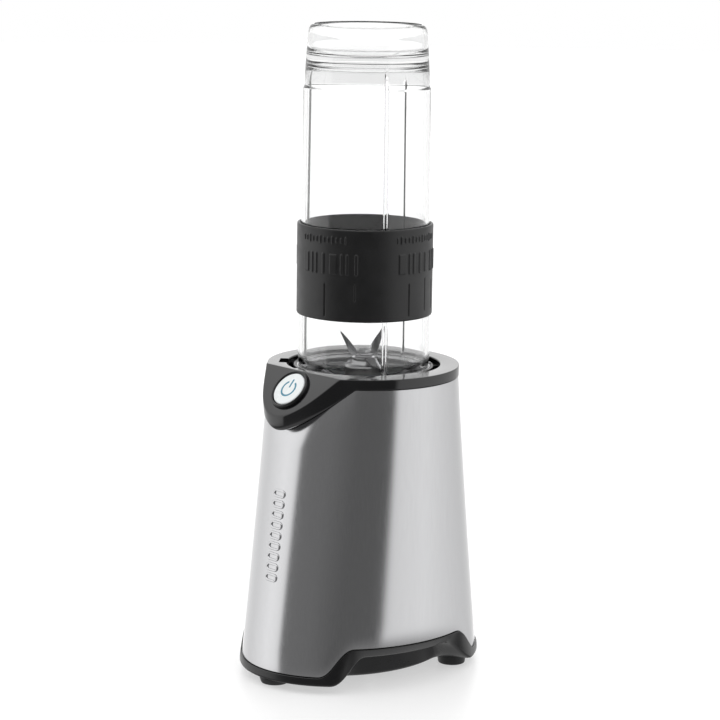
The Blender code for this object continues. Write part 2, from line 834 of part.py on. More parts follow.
def brush_set(name, side):
    """A carbon brush in its holder, square to the commutator."""
    level = COMMUTATOR_LOW + 6.5 * MM
    length = 17.0 * MM
    holder = box((length, 9.0 * MM, 10.0 * MM), (side * (16.0 * MM + length / 2.0), 0.0, level))
    obj = make(f"brush_holder_{name}", holder, "brass")
    slot = box((60.0 * MM, 5.4 * MM, 6.8 * MM), (side * 20.0 * MM, 0.0, level))
    boolean(obj, helper(f"tool_brush_slot_{name}", slot))
    near = COMMUTATOR_R + GAP
    brush = box((12.0 * MM, 4.6 * MM, 6.0 * MM), (side * (near + 6.0 * MM), 0.0, level))
    make(f"carbon_brush_{name}", brush, "carbon")
    spring = coil(1.9 * MM, 0.3 * MM, near + 12.4 * MM, 32.8 * MM, 3.0)
    turn = Matrix.Rotation(side * math.pi / 2.0, 4, "Y")
    make(f"brush_spring_{name}", spring, "blade_steel", Matrix.Translation((0.0, 0.0, level)) @ turn)


def control_board():
    """The circuit board on edge between the cage and the front wall."""
    shape = box((44.0 * MM, 1.6 * MM, 40.0 * MM), (0.0, -48.5 * MM, 112.0 * MM))
    obj = make("control_board", shape, "board_green")
    part = box((16.0 * MM, 6.0 * MM, 14.0 * MM), (-8.0 * MM, -45.0 * MM, 108.0 * MM))
    boolean(obj, helper("tool_board_relay", part), "UNION")
    return obj


def rotor():
    """Everything that turns on the motor's shaft."""
    shaft = [
        (0.0, 30.0 * MM),
        (SHAFT_R - 0.5 * MM, 30.0 * MM),
        (SHAFT_R, 30.5 * MM),
        (SHAFT_R, 147.0 * MM),
        (0.0, 147.0 * MM),
    ]
    make("motor_shaft", turned(shaft, SMALL), "blade_steel")
    bore = SHAFT_R + GAP
    make("armature_core", ring(bore, ARMATURE_R, STACK_LOW, STACK_HIGH, 32), "lamination")
    for name, low, high in (
        ("upper_winding", STACK_HIGH + GAP, STACK_HIGH + 10.0 * MM),
        ("lower_winding", COMMUTATOR_LOW + 12.4 * MM, STACK_LOW - GAP),
    ):
        outline = [
            (bore, low),
            (15.5 * MM, low),
            (17.0 * MM, low + 1.5 * MM),
            (17.0 * MM, high - 1.5 * MM),
            (15.5 * MM, high),
            (bore, high),
        ]
        make(name, turned(outline, SMALL), "copper")
    make("commutator", ring(bore, COMMUTATOR_R, COMMUTATOR_LOW, COMMUTATOR_LOW + 12.0 * MM, SMALL), "brass")
    cooling_fan(bore)
    drive_socket(bore)


def cooling_fan(bore):
    """The cooling fan: a disc with straight vanes under it."""
    plate = 41.0 * MM
    obj = make("cooling_fan", ring(bore, 30.0 * MM, plate, plate + 2.0 * MM, 32), "white_nylon")
    for index in range(8):
        vane = box((20.0 * MM, 1.4 * MM, 8.6 * MM), (18.5 * MM, 0.0, plate - 3.7 * MM))
        turn = Matrix.Rotation(math.tau * index / 8.0, 4, "Z")
        boolean(obj, helper(f"tool_fan_vane_{index}", vane, turn), "UNION")


def jaws(low, high, turn):
    """Four drive jaws round the axis."""
    shapes = []
    for index in range(4):
        polar = turn + math.tau * index / 4.0
        shapes.append(prism(sector_outline(JAW_INNER, JAW_OUTER, polar, JAW_HALF_ANGLE, 3), low, high))
    return shapes


def drive_socket(bore):
    """The motor's half of the drive: a disc with four jaws pointing up."""
    plate_low = 143.0 * MM
    plate = plate_low + 4.0 * MM
    outline = [(bore, plate_low), (JAW_OUTER, plate_low), (JAW_OUTER, plate), (bore, plate)]
    obj = make("drive_socket", turned(outline, 32), "white_nylon")
    for index, shape in enumerate(jaws(plate - 1.0 * MM, plate + 7.0 * MM, 0.0)):
        boolean(obj, helper(f"tool_socket_jaw_{index}", shape), "UNION")


# ---------------------------------------------------------------- blade unit


def cushion_ring():
    """The rubber ring on the recess floor that the blade unit turns on."""
    return make("cushion_ring", ring(22.0 * MM, 39.0 * MM, 155.3 * MM, 157.5 * MM, 40), "rubber")


def blade_holder():
    """The screw-on holder: a cup with two bayonet lugs and a bore for the spindle housing."""
    bore = 9.6 * MM
    outline = [
        (bore, HOLDER_FLOOR - 2.0 * MM),
        (24.0 * MM, HOLDER_FLOOR - 2.0 * MM),
        (28.0 * MM, HOLDER_LOW),
        (HOLDER_R - 0.8 * MM, HOLDER_LOW),
        (HOLDER_R, HOLDER_LOW + 0.8 * MM),
        (HOLDER_R, HOLDER_TOP),
        (HOLDER_BORE_R, HOLDER_TOP),
        (HOLDER_BORE_R, HOLDER_FLOOR + 3.0 * MM),
        (bore, HOLDER_FLOOR + 3.0 * MM),
    ]
    obj = make("blade_holder", turned(outline), "satin_black")
    for index, polar in enumerate(NOTCH_POLAR):
        boolean(obj, helper(f"tool_lug_{index}", lug(polar)), "UNION")
    return obj


def lug(polar):
    """One bayonet lug, whose underside rises towards its leading edge as a ramp for the safety pin."""
    steps = 6
    shape = bmesh.new()
    sections = []
    for step in range(steps + 1):
        share = step / steps
        angle = polar + LUG_HALF_ANGLE * (2.0 * share - 1.0)
        low = LUG_LOW + PRESS * (1.0 - share)
        section = []
        for radius, height in (
            (HOLDER_R - 1.0 * MM, low),
            (LUG_R, low),
            (LUG_R, LUG_HIGH),
            (HOLDER_R - 1.0 * MM, LUG_HIGH),
        ):
            section.append(shape.verts.new((radius * math.cos(angle), radius * math.sin(angle), height)))
        sections.append(section)
    for near, far in zip(sections, sections[1:]):
        for side in range(4):
            other = (side + 1) % 4
            shape.faces.new((near[side], near[other], far[other], far[side]))
    shape.faces.new(sections[0])
    shape.faces.new(sections[-1])
    return shape


def spindle_housing():
    """The domed metal housing through the holder's floor, with room for the bushes."""
    bore = 5.0 * MM
    outline = [
        (bore, 158.6 * MM),
        (9.3 * MM, 158.6 * MM),
        (9.3 * MM, HOLDER_FLOOR + 3.0 * MM + GAP),
        (11.3 * MM, HOLDER_FLOOR + 3.0 * MM + GAP),
        (11.3 * MM, 179.2 * MM),
        (10.0 * MM, 180.6 * MM),
        (7.0 * MM, 181.2 * MM),
        (6.6 * MM, 183.9 * MM),
        (bore, 183.9 * MM),
    ]
    return make("spindle_housing", turned(outline, 32), "blade_steel")


def spindle_fittings():
    inner = SPINDLE_R + GAP
    outer = 5.0 * MM - GAP
    make("upper_bush", ring(inner, outer, 172.4 * MM, 180.4 * MM, SMALL), "brass")
    make("spindle_seal", ring(inner, outer, 168.8 * MM, 172.0 * MM, SMALL), "silicone")
    make("lower_bush", ring(inner, outer, 160.4 * MM, 168.4 * MM, SMALL), "brass")


def blade(name, level, tip_rise, polar):
    """A two-winged knife: a round hub plate with wings bent up or down, sharpened along one edge."""
    hub_r = 6.6 * MM
    bend_r = 6.0 * MM
    obj = make(name, ring(SPINDLE_R + GAP, hub_r, level, level + BLADE_PLATE, SMALL), "blade_steel")
    root_half = 4.0 * MM
    for index in range(2):
        turn = polar + math.pi * index
        wing = bmesh.new()
        corners = (
            (bend_r - 1.2 * MM, -root_half, 0.0),
            (bend_r - 1.2 * MM, root_half, 0.0),
            (bend_r + 1.0 * MM, root_half, 0.0),
            (BLADE_TIP_R, 0.8 * MM, tip_rise),
            (BLADE_TIP_R - 1.2 * MM, -2.6 * MM, tip_rise * 0.8),
            (bend_r + 1.0 * MM, -root_half, 0.0),
        )
        low = [wing.verts.new((x, y, level + rise + 0.15 * MM)) for x, y, rise in corners]
        high = [wing.verts.new((x, y, level + rise + BLADE_PLATE - 0.15 * MM)) for x, y, rise in corners]
        for quad in ((0, 1, 2, 5), (5, 2, 3, 4)):
            wing.faces.new([low[corner] for corner in quad])
            wing.faces.new([high[corner] for corner in quad])
        for corner in range(len(corners)):
            other = (corner + 1) % len(corners)
            wing.faces.new((low[corner], low[other], high[other], high[corner]))
        tool = helper(f"tool_{name}_wing_{index}", wing, Matrix.Rotation(turn, 4, "Z"))
        boolean(obj, tool, "UNION")
    return obj


def blades():
    """The knives, with the spindle, washer, nut, clip and dog that turn with them."""
    spindle = [
        (0.0, 149.5 * MM),
        (SPINDLE_R, 149.5 * MM),
        (SPINDLE_R, 189.0 * MM),
        (SPINDLE_R - 0.5 * MM, 189.5 * MM),
        (0.0, 189.5 * MM),
    ]
    make("blade_spindle", turned(spindle, SMALL), "blade_steel")
    inner = SPINDLE_R + GAP
    blade("lower_blade", LOWER_BLADE_Z, -8.0 * MM, 0.0)
    clear = 0.2 * MM
    washer = ring(inner, 5.4 * MM, LOWER_BLADE_Z + BLADE_PLATE + clear, UPPER_BLADE_Z - clear, SMALL)
    make("blade_washer", washer, "blade_steel")
    blade("upper_blade", UPPER_BLADE_Z, 15.0 * MM, math.pi / 2.0)
    blade_nut(inner)
    make("retaining_clip", ring(inner, 4.5 * MM, 158.9 * MM, 159.9 * MM, SMALL), "blade_steel")
    drive_dog(inner)


def blade_nut(inner):
    low = UPPER_BLADE_Z + BLADE_PLATE + GAP
    high = low + 1.6 * MM
    obj = make("blade_nut", disc(4.6 * MM, low, high, 6), "blade_steel")
    boolean(obj, helper("tool_nut_bore", disc(inner, low - 1.0 * MM, high + 1.0 * MM, SMALL)))


def drive_dog(inner):
    """The blade unit's half of the drive: four jaws pointing down, midway between the motor's."""
    plate = 154.8 * MM
    outline = [(inner, plate), (JAW_OUTER, plate), (JAW_OUTER, plate + 3.0 * MM), (inner, plate + 3.0 * MM)]
    obj = make("drive_dog", turned(outline, 32), "white_nylon")
    for index, shape in enumerate(jaws(148.0 * MM, plate + 1.0 * MM, math.pi / 4.0)):
        boolean(obj, helper(f"tool_dog_jaw_{index}", shape), "UNION")


def bottle_seal():
    """The flat ring that the bottle's mouth presses on."""
    low = HOLDER_FLOOR + 3.0 * MM + GAP
    return make("bottle_seal", ring(33.6 * MM, 38.0 * MM, low, low + 1.5 * MM, 40), "silicone")


# ---------------------------------------------------------------- bottle


def bottle_outside():
    """The bottle's outline from its mouth, at the bottom, to the rim of its closed end."""
    return [
        (BOTTLE_NECK_R, BOTTLE_MOUTH),
        (BOTTLE_NECK_R, 169.8 * MM),
        (THREAD_R, 170.8 * MM),
        (BOTTLE_NECK_R, 171.8 * MM),
        (BOTTLE_NECK_R, 174.8 * MM),
        (THREAD_R, 175.8 * MM),
        (BOTTLE_NECK_R, 176.8 * MM),
        (BOTTLE_NECK_R, 178.4 * MM),
        (38.0 * MM, 180.6 * MM),
        (38.5 * MM, 183.5 * MM),
        (38.5 * MM, 205.0 * MM),
        (37.3 * MM, 272.0 * MM),
        (37.0 * MM, 343.2 * MM),
        (36.3 * MM, 344.0 * MM),
        (35.7 * MM, 360.0 * MM),
        (34.3 * MM, 374.5 * MM),
        (33.6 * MM, 377.6 * MM),
        (32.2 * MM, BOTTLE_TOP),
    ]


def bottle_radius(height):
    """The bottle's outer radius where the sleeve holds it."""
    outline = bottle_outside()
    for (near, low), (far, high) in zip(outline, outline[1:]):
        if low <= height <= high and high > low:
            return near + (far - near) * (height - low) / (high - low)
    return BOTTLE_NECK_R


def bottle():
    """The clear bottle, upside down, with a hollow foot and three ribs inside."""
    inside = [
        (30.9 * MM, BOTTLE_TOP),
        (31.8 * MM, 376.0 * MM),
        (33.0 * MM, 364.5 * MM),
        (31.0 * MM, 361.6 * MM),
        (0.0, 361.0 * MM),
        (0.0, 358.6 * MM),
        (31.4 * MM, 358.2 * MM),
        (33.6 * MM, 355.6 * MM),
        (37.0 * MM - BOTTLE_WALL, 340.0 * MM),
        (37.3 * MM - BOTTLE_WALL, 272.0 * MM),
        (38.5 * MM - BOTTLE_WALL, 205.0 * MM),
        (38.5 * MM - BOTTLE_WALL, 184.5 * MM),
        (BOTTLE_NECK_R - BOTTLE_WALL, 177.5 * MM),
        (BOTTLE_NECK_R - BOTTLE_WALL, BOTTLE_MOUTH),
    ]
    obj = make("bottle", turned(bottle_outside() + inside), "clear_tritan")
    for index in range(3):
        rib = box((3.6 * MM, 1.8 * MM, 158.0 * MM), (34.8 * MM, 0.0, 264.0 * MM))
        turn = Matrix.Rotation(RIB_POLAR + math.tau * index / 3.0, 4, "Z")
        boolean(obj, helper(f"tool_bottle_rib_{index}", rib, turn), "UNION")
    return obj


def grip_sleeve():
    """The rubber band round the bottle."""
    soft = 1.2 * MM
    outline = [
        (bottle_radius(SLEEVE_LOW) + GAP, SLEEVE_LOW),
        (SLEEVE_R - soft, SLEEVE_LOW),
        (SLEEVE_R, SLEEVE_LOW + soft),
        (SLEEVE_R, SLEEVE_HIGH - soft),
        (SLEEVE_R - soft, SLEEVE_HIGH),
        (bottle_radius(SLEEVE_HIGH) + GAP, SLEEVE_HIGH),
    ]
    return make("grip_sleeve", turned(outline), "rubber")


# ---------------------------------------------------------------- assembly


def build():
    clear_scene()
    steel_skin()
    top_collar()
    bottom_housing()
    rubber_feet()
    base_screws()
    cord_gland()
    button_bezel()
    power_button()
    power_switch()
    recess_cup()
    interlock_plunger()
    interlock_spring()
    interlock_switch()
    motor_cage()
    bracket("motor_top_bracket", TOP_BRACKET_Z, 1)
    bearing("upper_bearing", TOP_BRACKET_Z)
    bracket("motor_bottom_bracket", LOW_BRACKET_Z, -1)
    bearing("lower_bearing", LOW_BRACKET_Z + 3.0 * MM - BEARING_WIDTH)
    stator_core()
    field_coil("field_coil_front", -1.0)
    field_coil("field_coil_rear", 1.0)
    brush_set("right", 1.0)
    brush_set("left", -1.0)
    control_board()
    rotor()
    cushion_ring()
    blade_holder()
    spindle_housing()
    spindle_fittings()
    blades()
    bottle_seal()
    bottle()
    grip_sleeve()


build()
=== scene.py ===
import json
import math

import bmesh
import bpy
from mathutils import Matrix, Vector


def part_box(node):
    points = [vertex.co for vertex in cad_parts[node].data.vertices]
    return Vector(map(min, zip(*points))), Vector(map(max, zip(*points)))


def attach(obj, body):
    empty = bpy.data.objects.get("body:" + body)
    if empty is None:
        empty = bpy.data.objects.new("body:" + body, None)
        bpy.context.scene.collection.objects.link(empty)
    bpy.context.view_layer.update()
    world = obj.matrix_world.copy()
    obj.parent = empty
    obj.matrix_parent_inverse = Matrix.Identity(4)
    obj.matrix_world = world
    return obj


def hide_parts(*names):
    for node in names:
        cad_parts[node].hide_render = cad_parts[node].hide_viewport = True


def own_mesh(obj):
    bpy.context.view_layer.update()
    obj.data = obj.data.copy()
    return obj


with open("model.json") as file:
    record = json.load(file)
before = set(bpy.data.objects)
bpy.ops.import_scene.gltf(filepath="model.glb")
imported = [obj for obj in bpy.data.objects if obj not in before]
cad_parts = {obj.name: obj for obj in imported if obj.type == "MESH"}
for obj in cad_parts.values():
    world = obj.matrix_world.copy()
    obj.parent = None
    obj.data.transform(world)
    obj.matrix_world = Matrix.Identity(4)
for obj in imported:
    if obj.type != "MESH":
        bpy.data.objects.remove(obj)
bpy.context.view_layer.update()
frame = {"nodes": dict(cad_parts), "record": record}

MM = 0.001
HALF_PI = math.pi / 2.0


def low(node):
    """The lowest corner of a CAD node's box."""
    return Vector(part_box(node)[0])


def high(node):
    """The highest corner of a CAD node's box."""
    return Vector(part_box(node)[1])


# ---------------------------------------------------------------- sizes, from the frame

COLLAR_R = high("top_collar").x
COLLAR_TOP = high("top_collar").z
COLLAR_LOW = COLLAR_TOP - 6.0 * MM
CHIN_LOW = low("top_collar").z
CHIN_REACH = 12.0 * MM
CHIN_KNEE = 12.0 * MM
CHIN_FLARE = 0.1
CHIN_CORNER = 0.2
CHIN_POWER = 2.5
CHIN_HALF_ANGLE = math.radians(43.5)
FACET_TILT = math.radians(42.0)
FACET_SLOPE = math.tan(FACET_TILT)
FACET_POINT = Vector((0.0, -56.0 * MM, COLLAR_TOP - 10.0 * MM))
MOUTH_R = 42.0 * MM
NOTCH_R = 45.0 * MM
NOTCH_HALF_ANGLE = math.radians(15.0)
MOUTH_NOTCH_HALF_ANGLE = math.radians(32.0)
SLIT_END_R = 49.4 * MM
SLIT_WIDTH = 13.0 * MM
NOTCH_POLAR = (math.radians(-135.0), math.radians(45.0))
LUG_HALF_ANGLE = math.radians(12.0)
TWIST = math.radians(24.0)

COLLAR_WALL = 3.0 * MM

# The clearance between the steel and the black mouldings above and below it.
SKIN_GAP = 0.3 * MM

# How far to each side of a wall the sections lie close together, and how close.
WALL_REACH = math.radians(0.6)
WALL_STEP = math.radians(0.1)

SKIN_TOP_R = COLLAR_R - 0.4 * MM
SKIN_FOOT_Z = low("steel_skin").z
SKIN_FOOT_X = 61.0 * MM
SKIN_FOOT_Y = 76.0 * MM
SKIN_WALL = 1.2 * MM
ARCH_FROM = math.radians(37.0)
ARCH_TO = math.radians(126.0)
ARCH_BLEND = math.radians(19.0)
ARCH_REAR_BLEND = math.radians(28.0)
ARCH_TUCK = 5.0 * MM
RIM_INSET = math.radians(6.0)
ARCH_RISE = 16.5 * MM
RIM_LOW = low("bottom_housing").z
RIM_PROUD = 1.0 * MM
PAN_LOW = RIM_LOW + 0.2 * MM
PAN_X = 42.0 * MM
PAN_Y = 56.0 * MM

BOTTLE_TOP = high("bottle").z
BOTTLE_MOUTH = low("bottle").z
RIB_POLAR = math.radians(-23.2)
SLEEVE_LOW = low("grip_sleeve").z
SLEEVE_HIGH = high("grip_sleeve").z
SLEEVE_R = high("grip_sleeve").x - 0.1 * MM

# The angle of each groove on the sleeve, in degrees, its middle height over the lower edge and its
# half length, both in millimetres.
SLEEVE_GROOVES = (
    (-77.0, 12.0, 9.5),
    (-50.0, 17.0, 5.0),
    (-2.0, 12.0, 9.5),
    (19.0, 14.0, 9.5),
    (34.0, 13.0, 8.5),
)

CAMERA_AZIMUTH = math.radians(48.0)


# ---------------------------------------------------------------- surfaces of the base


def smooth(value):
    """A step from 0 to 1 with level ends."""
    value = min(max(value, 0.0), 1.0)
    return value * value * (3.0 - 2.0 * value)


def eased(value):
    """A step from 0 to 1 with longer, softer ends."""
    value = min(max(value, 0.0), 1.0)
    return value**3 * (value * (6.0 * value - 15.0) + 10.0)


def from_front(polar):
    """How far this angle is from the front, either way round."""
    return abs((polar + HALF_PI + math.pi) % math.tau - math.pi)


def between(polar, centre):
    """The signed angle from centre to polar, from -pi to pi."""
    return (polar - centre + math.pi) % math.tau - math.pi


def arch(polar, inset=0.0):
    """0 on the front and rear skirts and 1 over the side arches, narrower by inset at each end."""
    angle = from_front(polar)
    rise = eased((angle - ARCH_FROM - inset) / ARCH_BLEND + 0.5)
    return rise - eased((angle - ARCH_TO + inset) / ARCH_REAR_BLEND + 0.5)


def skin_radius(polar, height):
    """The steel's outside: a circle under the collar that widens to an oval at the foot."""
    oval = 1.0 / math.hypot(math.cos(polar) / SKIN_FOOT_X, math.sin(polar) / SKIN_FOOT_Y)
    share = (COLLAR_LOW - height) / (COLLAR_LOW - SKIN_FOOT_Z)
    return SKIN_TOP_R + (oval - SKIN_TOP_R) * share


def skin_low(polar):
    """The height of the steel's lower edge."""
    return SKIN_FOOT_Z + ARCH_RISE * arch(polar)


def chin_low(polar):
    """The height of the collar's lower edge, which drops to a V at the front."""
    share = min(from_front(polar) / CHIN_HALF_ANGLE, 1.0)
    span = math.hypot(1.0, CHIN_CORNER) - CHIN_CORNER
    climb = (math.hypot(share, CHIN_CORNER) - CHIN_CORNER) / span
    return CHIN_LOW + (COLLAR_LOW - CHIN_LOW) * climb


def chin_bulge(polar):
    """1 at the middle of the chin, falling to 0 at its two ends."""
    share = min(from_front(polar) / CHIN_HALF_ANGLE, 1.0)
    return max(math.cos(share * HALF_PI), 0.0) ** CHIN_POWER


def collar_radius(polar, height):
    """The collar's side, which stands out over the chin and leans out with height there."""
    reach = CHIN_REACH + CHIN_FLARE * (height - CHIN_LOW - CHIN_KNEE)
    return COLLAR_R + chin_bulge(polar) * reach


def facet_frame():
    """Z along the facet's outward normal, Y up its slope."""
    normal = Vector((0.0, -math.cos(FACET_TILT), math.sin(FACET_TILT)))
    up_slope = Vector((0.0, math.sin(FACET_TILT), math.cos(FACET_TILT)))
    matrix = Matrix.Identity(4)
    for column, axis in enumerate((up_slope.cross(normal), up_slope, normal, FACET_POINT)):
        matrix.col[column][:3] = axis
    return matrix


# ---------------------------------------------------------------- mesh tools


def rounded(corners, steps=4):
    """An outline from (radius, height, fillet) corners in millimetres, each fillet a short curve."""
    outline = []
    count = len(corners)
    for index, (x, y, fillet) in enumerate(corners):
        here = Vector((x, y))
        if fillet <= 0.0:
            outline.append(here * MM)
            continue
        before = Vector(corners[index - 1][:2]) - here
        after = Vector(corners[(index + 1) % count][:2]) - here
        reach_before = min(fillet, 0.48 * before.length)
        reach_after = min(fillet, 0.48 * after.length)
        start = here + before.normalized() * reach_before
        end = here + after.normalized() * reach_after
        for step in range(steps + 1):
            share = step / steps
            point = start * (1.0 - share) ** 2 + here * 2.0 * share * (1.0 - share) + end * share**2
            outline.append(point * MM)
    return outline


def swept(section_of, polars, closed=True):
    """A body round Z: one section of (radius, height) points at each angle.

    A closed section is a loop. An open one starts and ends on the axis, where it meets in one point.
    """
    shape = bmesh.new()
    columns = []
    ends = []
    for polar in polars:
        section = section_of(polar)
        if not closed:
            if not ends:
                ends = [shape.verts.new((0.0, 0.0, section[end][1])) for end in (0, -1)]
            section = section[1:-1]
        across = Vector((math.cos(polar), math.sin(polar), 0.0))
        points = [across * radius + Vector((0.0, 0.0, height)) for radius, height in section]
        columns.append([shape.verts.new(point) for point in points])
    rows = len(columns[0])
    for index, column in enumerate(columns):
        other = columns[(index + 1) % len(columns)]
        for row in range(rows if closed else rows - 1):
            following = (row + 1) % rows
            shape.faces.new((column[row], other[row], other[following], column[following]))
        if not closed:
            shape.faces.new((ends[0], other[0], column[0]))
            shape.faces.new((column[-1], other[-1], ends[1]))
    return shape


def bridge(shape, near, far):
    """The faces between two closed loops of as many points each."""
    for index in range(len(near)):
        other = (index + 1) % len(near)
        shape.faces.new((near[index], near[other], far[other], far[index]))


def even(count):
    """This many angles, evenly round the circle."""
    return [math.tau * step / count for step in range(count)]


def both_ends(centres, half_angle):
    """The angles of both ends of each of these sectors."""
    return [centre + side * half_angle for centre in centres for side in (-1.0, 1.0)]


def with_extra(polars, centres, reach=WALL_REACH, step=WALL_STEP):
    """These angles, with more of them within reach of each centre."""
    extra = set()
    for centre in centres:
        count = int(round(reach / step))
        extra |= {(centre + step * index) % math.tau for index in range(-count, count + 1)}
    kept = {p for p in polars if all(abs(between(p, centre)) > reach for centre in centres)}
    return sorted(kept | extra)


def turned(corners, steps=96, closed=True):
    """A round body. An open outline starts and ends on the axis."""
    outline = rounded(corners)
    if not closed:
        outline = rounded([(0.0, corners[0][1], 0.0), *corners, (0.0, corners[-1][1], 0.0)])
    return swept(lambda _polar: outline, even(steps), closed)


def bore(corners, steps):
    """A round tool body that cuts a hole, from (radius, height) corners in millimetres."""
    return turned([(radius, height, 0.0) for radius, height in corners], steps, closed=False)


def upright(node):
    """The place on the floor under the middle of a node."""
    middle = (low(node) + high(node)) / 2.0
    return Matrix.Translation((middle.x, middle.y, 0.0))


def mesh_of(name, shape, matrix=None):
    """A mesh from a bmesh, with its faces turned outward, moved by the matrix."""
    bmesh.ops.recalc_face_normals(shape, faces=shape.faces)
    if matrix is not None:
        bmesh.ops.transform(shape, matrix=matrix, verts=shape.verts)
    mesh = bpy.data.meshes.new(name)
    shape.to_mesh(mesh)
    shape.free()
    return mesh


def linked(name, data):
    """A new object in the scene."""
    made = bpy.data.objects.new(name, data)
    bpy.context.scene.collection.objects.link(made)
    return made


def add(name, shape, body, slot, replaces=(), matrix=None, sharp=40.0, look=None):
    """A piece from a bmesh, riding on a body. Its finish is its slot's own, or a look of it."""
    mesh = mesh_of(name, shape, matrix)
    mesh.shade_smooth()
    mesh.set_sharp_from_angle(angle=math.radians(sharp))
    piece = linked(name, mesh)
    mesh.materials.append(FINISHES[look or slot])
    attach(piece, body)
    if replaces:
        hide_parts(*replaces)
    return piece


def cut(piece, shape, matrix=None, operation="DIFFERENCE"):
    """Cuts or joins a tool body and leaves the result on the piece's mesh."""
    tool = linked("tool", mesh_of("tool", shape, matrix))
    step = piece.modifiers.new("cut", "BOOLEAN")
    step.operation = operation
    step.object = tool
    step.solver = "MANIFOLD"
    graph = bpy.context.evaluated_depsgraph_get()
    result = bpy.data.meshes.new_from_object(piece.evaluated_get(graph), depsgraph=graph)
    piece.modifiers.clear()
    piece.data = result
    result.shade_smooth()
    result.set_sharp_from_angle(angle=math.radians(30.0))
    bpy.data.objects.remove(tool, do_unlink=True)


# ---------------------------------------------------------------- finishes


# The part of a noise texture's range that holds nearly all of its values.
NOISE_LOW = 0.3
NOISE_HIGH = 0.7


def finish(name, colour, roughness, metallic=0.0):
    """A new Principled material, with its node tree and shader."""
    made = bpy.data.materials.new(name)
    made.use_nodes = True
    tree = made.node_tree
    shader = tree.nodes["Principled BSDF"]
    shader.inputs["Base Color"].default_value = (*colour, 1.0)
    shader.inputs["Roughness"].default_value = roughness
    shader.inputs["Metallic"].default_value = metallic
    return made, tree, shader


def noise(tree, scale, stretch=(1.0, 1.0, 1.0), detail=4.0):
    """A noise texture in object space, stretched along the axes, and its factor socket."""
    place = tree.nodes.new("ShaderNodeTexCoord")
    mapping = tree.nodes.new("ShaderNodeMapping")
    mapping.inputs["Scale"].default_value = stretch
    texture = tree.nodes.new("ShaderNodeTexNoise")
    texture.inputs["Scale"].default_value = scale
    texture.inputs["Detail"].default_value = detail
    tree.links.new(place.outputs["Object"], mapping.inputs["Vector"])
    tree.links.new(mapping.outputs["Vector"], texture.inputs["Vector"])
    return texture.outputs["Fac"]


def vary_colour(tree, shader, factor, dark, light):
    """The base colour goes from dark to light as the noise rises."""
    ramp = tree.nodes.new("ShaderNodeValToRGB")
    first, last = ramp.color_ramp.elements
    first.position = NOISE_LOW
    last.position = NOISE_HIGH
    first.color = (*dark, 1.0)
    last.color = (*light, 1.0)
    tree.links.new(factor, ramp.inputs["Fac"])
    tree.links.new(ramp.outputs["Color"], shader.inputs["Base Color"])


def vary_roughness(tree, shader, factor, least, most):
    """The roughness goes from least to most as the noise rises."""
    span = tree.nodes.new("ShaderNodeMapRange")
    span.inputs["From Min"].default_value = NOISE_LOW
    span.inputs["From Max"].default_value = NOISE_HIGH
    span.inputs["To Min"].default_value = least
    span.inputs["To Max"].default_value = most
    tree.links.new(factor, span.inputs["Value"])
    tree.links.new(span.outputs["Result"], shader.inputs["Roughness"])


def bump(tree, shader, factor, strength, distance):
    """The noise as relief, with its depth in metres."""
    node = tree.nodes.new("ShaderNodeBump")
    node.inputs["Strength"].default_value = strength
    node.inputs["Distance"].default_value = distance
    tree.links.new(factor, node.inputs["Height"])
    tree.links.new(node.outputs["Normal"], shader.inputs["Normal"])


def scaled(colour, factor):
    """A colour made darker or lighter."""
    return tuple(channel * factor for channel in colour)


def grained(
    name, colour, roughness, metallic=0.0, scale=900.0, spread=0.12, depth=0.02, gloss=0.5
):
    """A moulded or machined finish: a little colour variation, uneven gloss and a fine grain.

    The scale is the grain's, per metre; the spread is the share by which the colour varies; the depth is
    the grain's, in millimetres; the gloss is the specular level.
    """
    made, tree, shader = finish(name, colour, roughness, metallic)
    shader.inputs["Specular IOR Level"].default_value = gloss
    broad = noise(tree, scale / 12.0)
    fine = noise(tree, scale, detail=2.0)
    vary_colour(tree, shader, broad, scaled(colour, 1.0 - spread), scaled(colour, 1.0 + spread))
    vary_roughness(tree, shader, broad, roughness * 0.88, min(roughness * 1.12, 1.0))
    bump(tree, shader, fine, 0.5, depth * MM)
    return made


def brushed(name, colour, roughness, stretch, spread=0.05, strength=0.25):
    """A metal with fine parallel scratches along the axis whose stretch is small."""
    made, tree, shader = finish(name, colour, roughness, 1.0)
    lines = noise(tree, 1.0, stretch, detail=6.0)
    vary_colour(tree, shader, lines, scaled(colour, 1.0 - spread), scaled(colour, 1.0 + spread))
    vary_roughness(tree, shader, lines, roughness * 0.85, roughness * 1.2)
    bump(tree, shader, lines, strength, 0.01 * MM)
    return made


def clear_plastic(name):
    """The bottle's clear, glassy copolyester, with a breath of unevenness."""
    made, tree, shader = finish(name, (0.98, 0.98, 0.98), 0.02)
    shader.inputs["Transmission Weight"].default_value = 1.0
    shader.inputs["IOR"].default_value = 1.56
    wave = noise(tree, 30.0)
    vary_colour(tree, shader, wave, (0.97, 0.972, 0.972), (0.99, 0.992, 0.992))
    vary_roughness(tree, shader, wave, 0.0, 0.025)
    return made


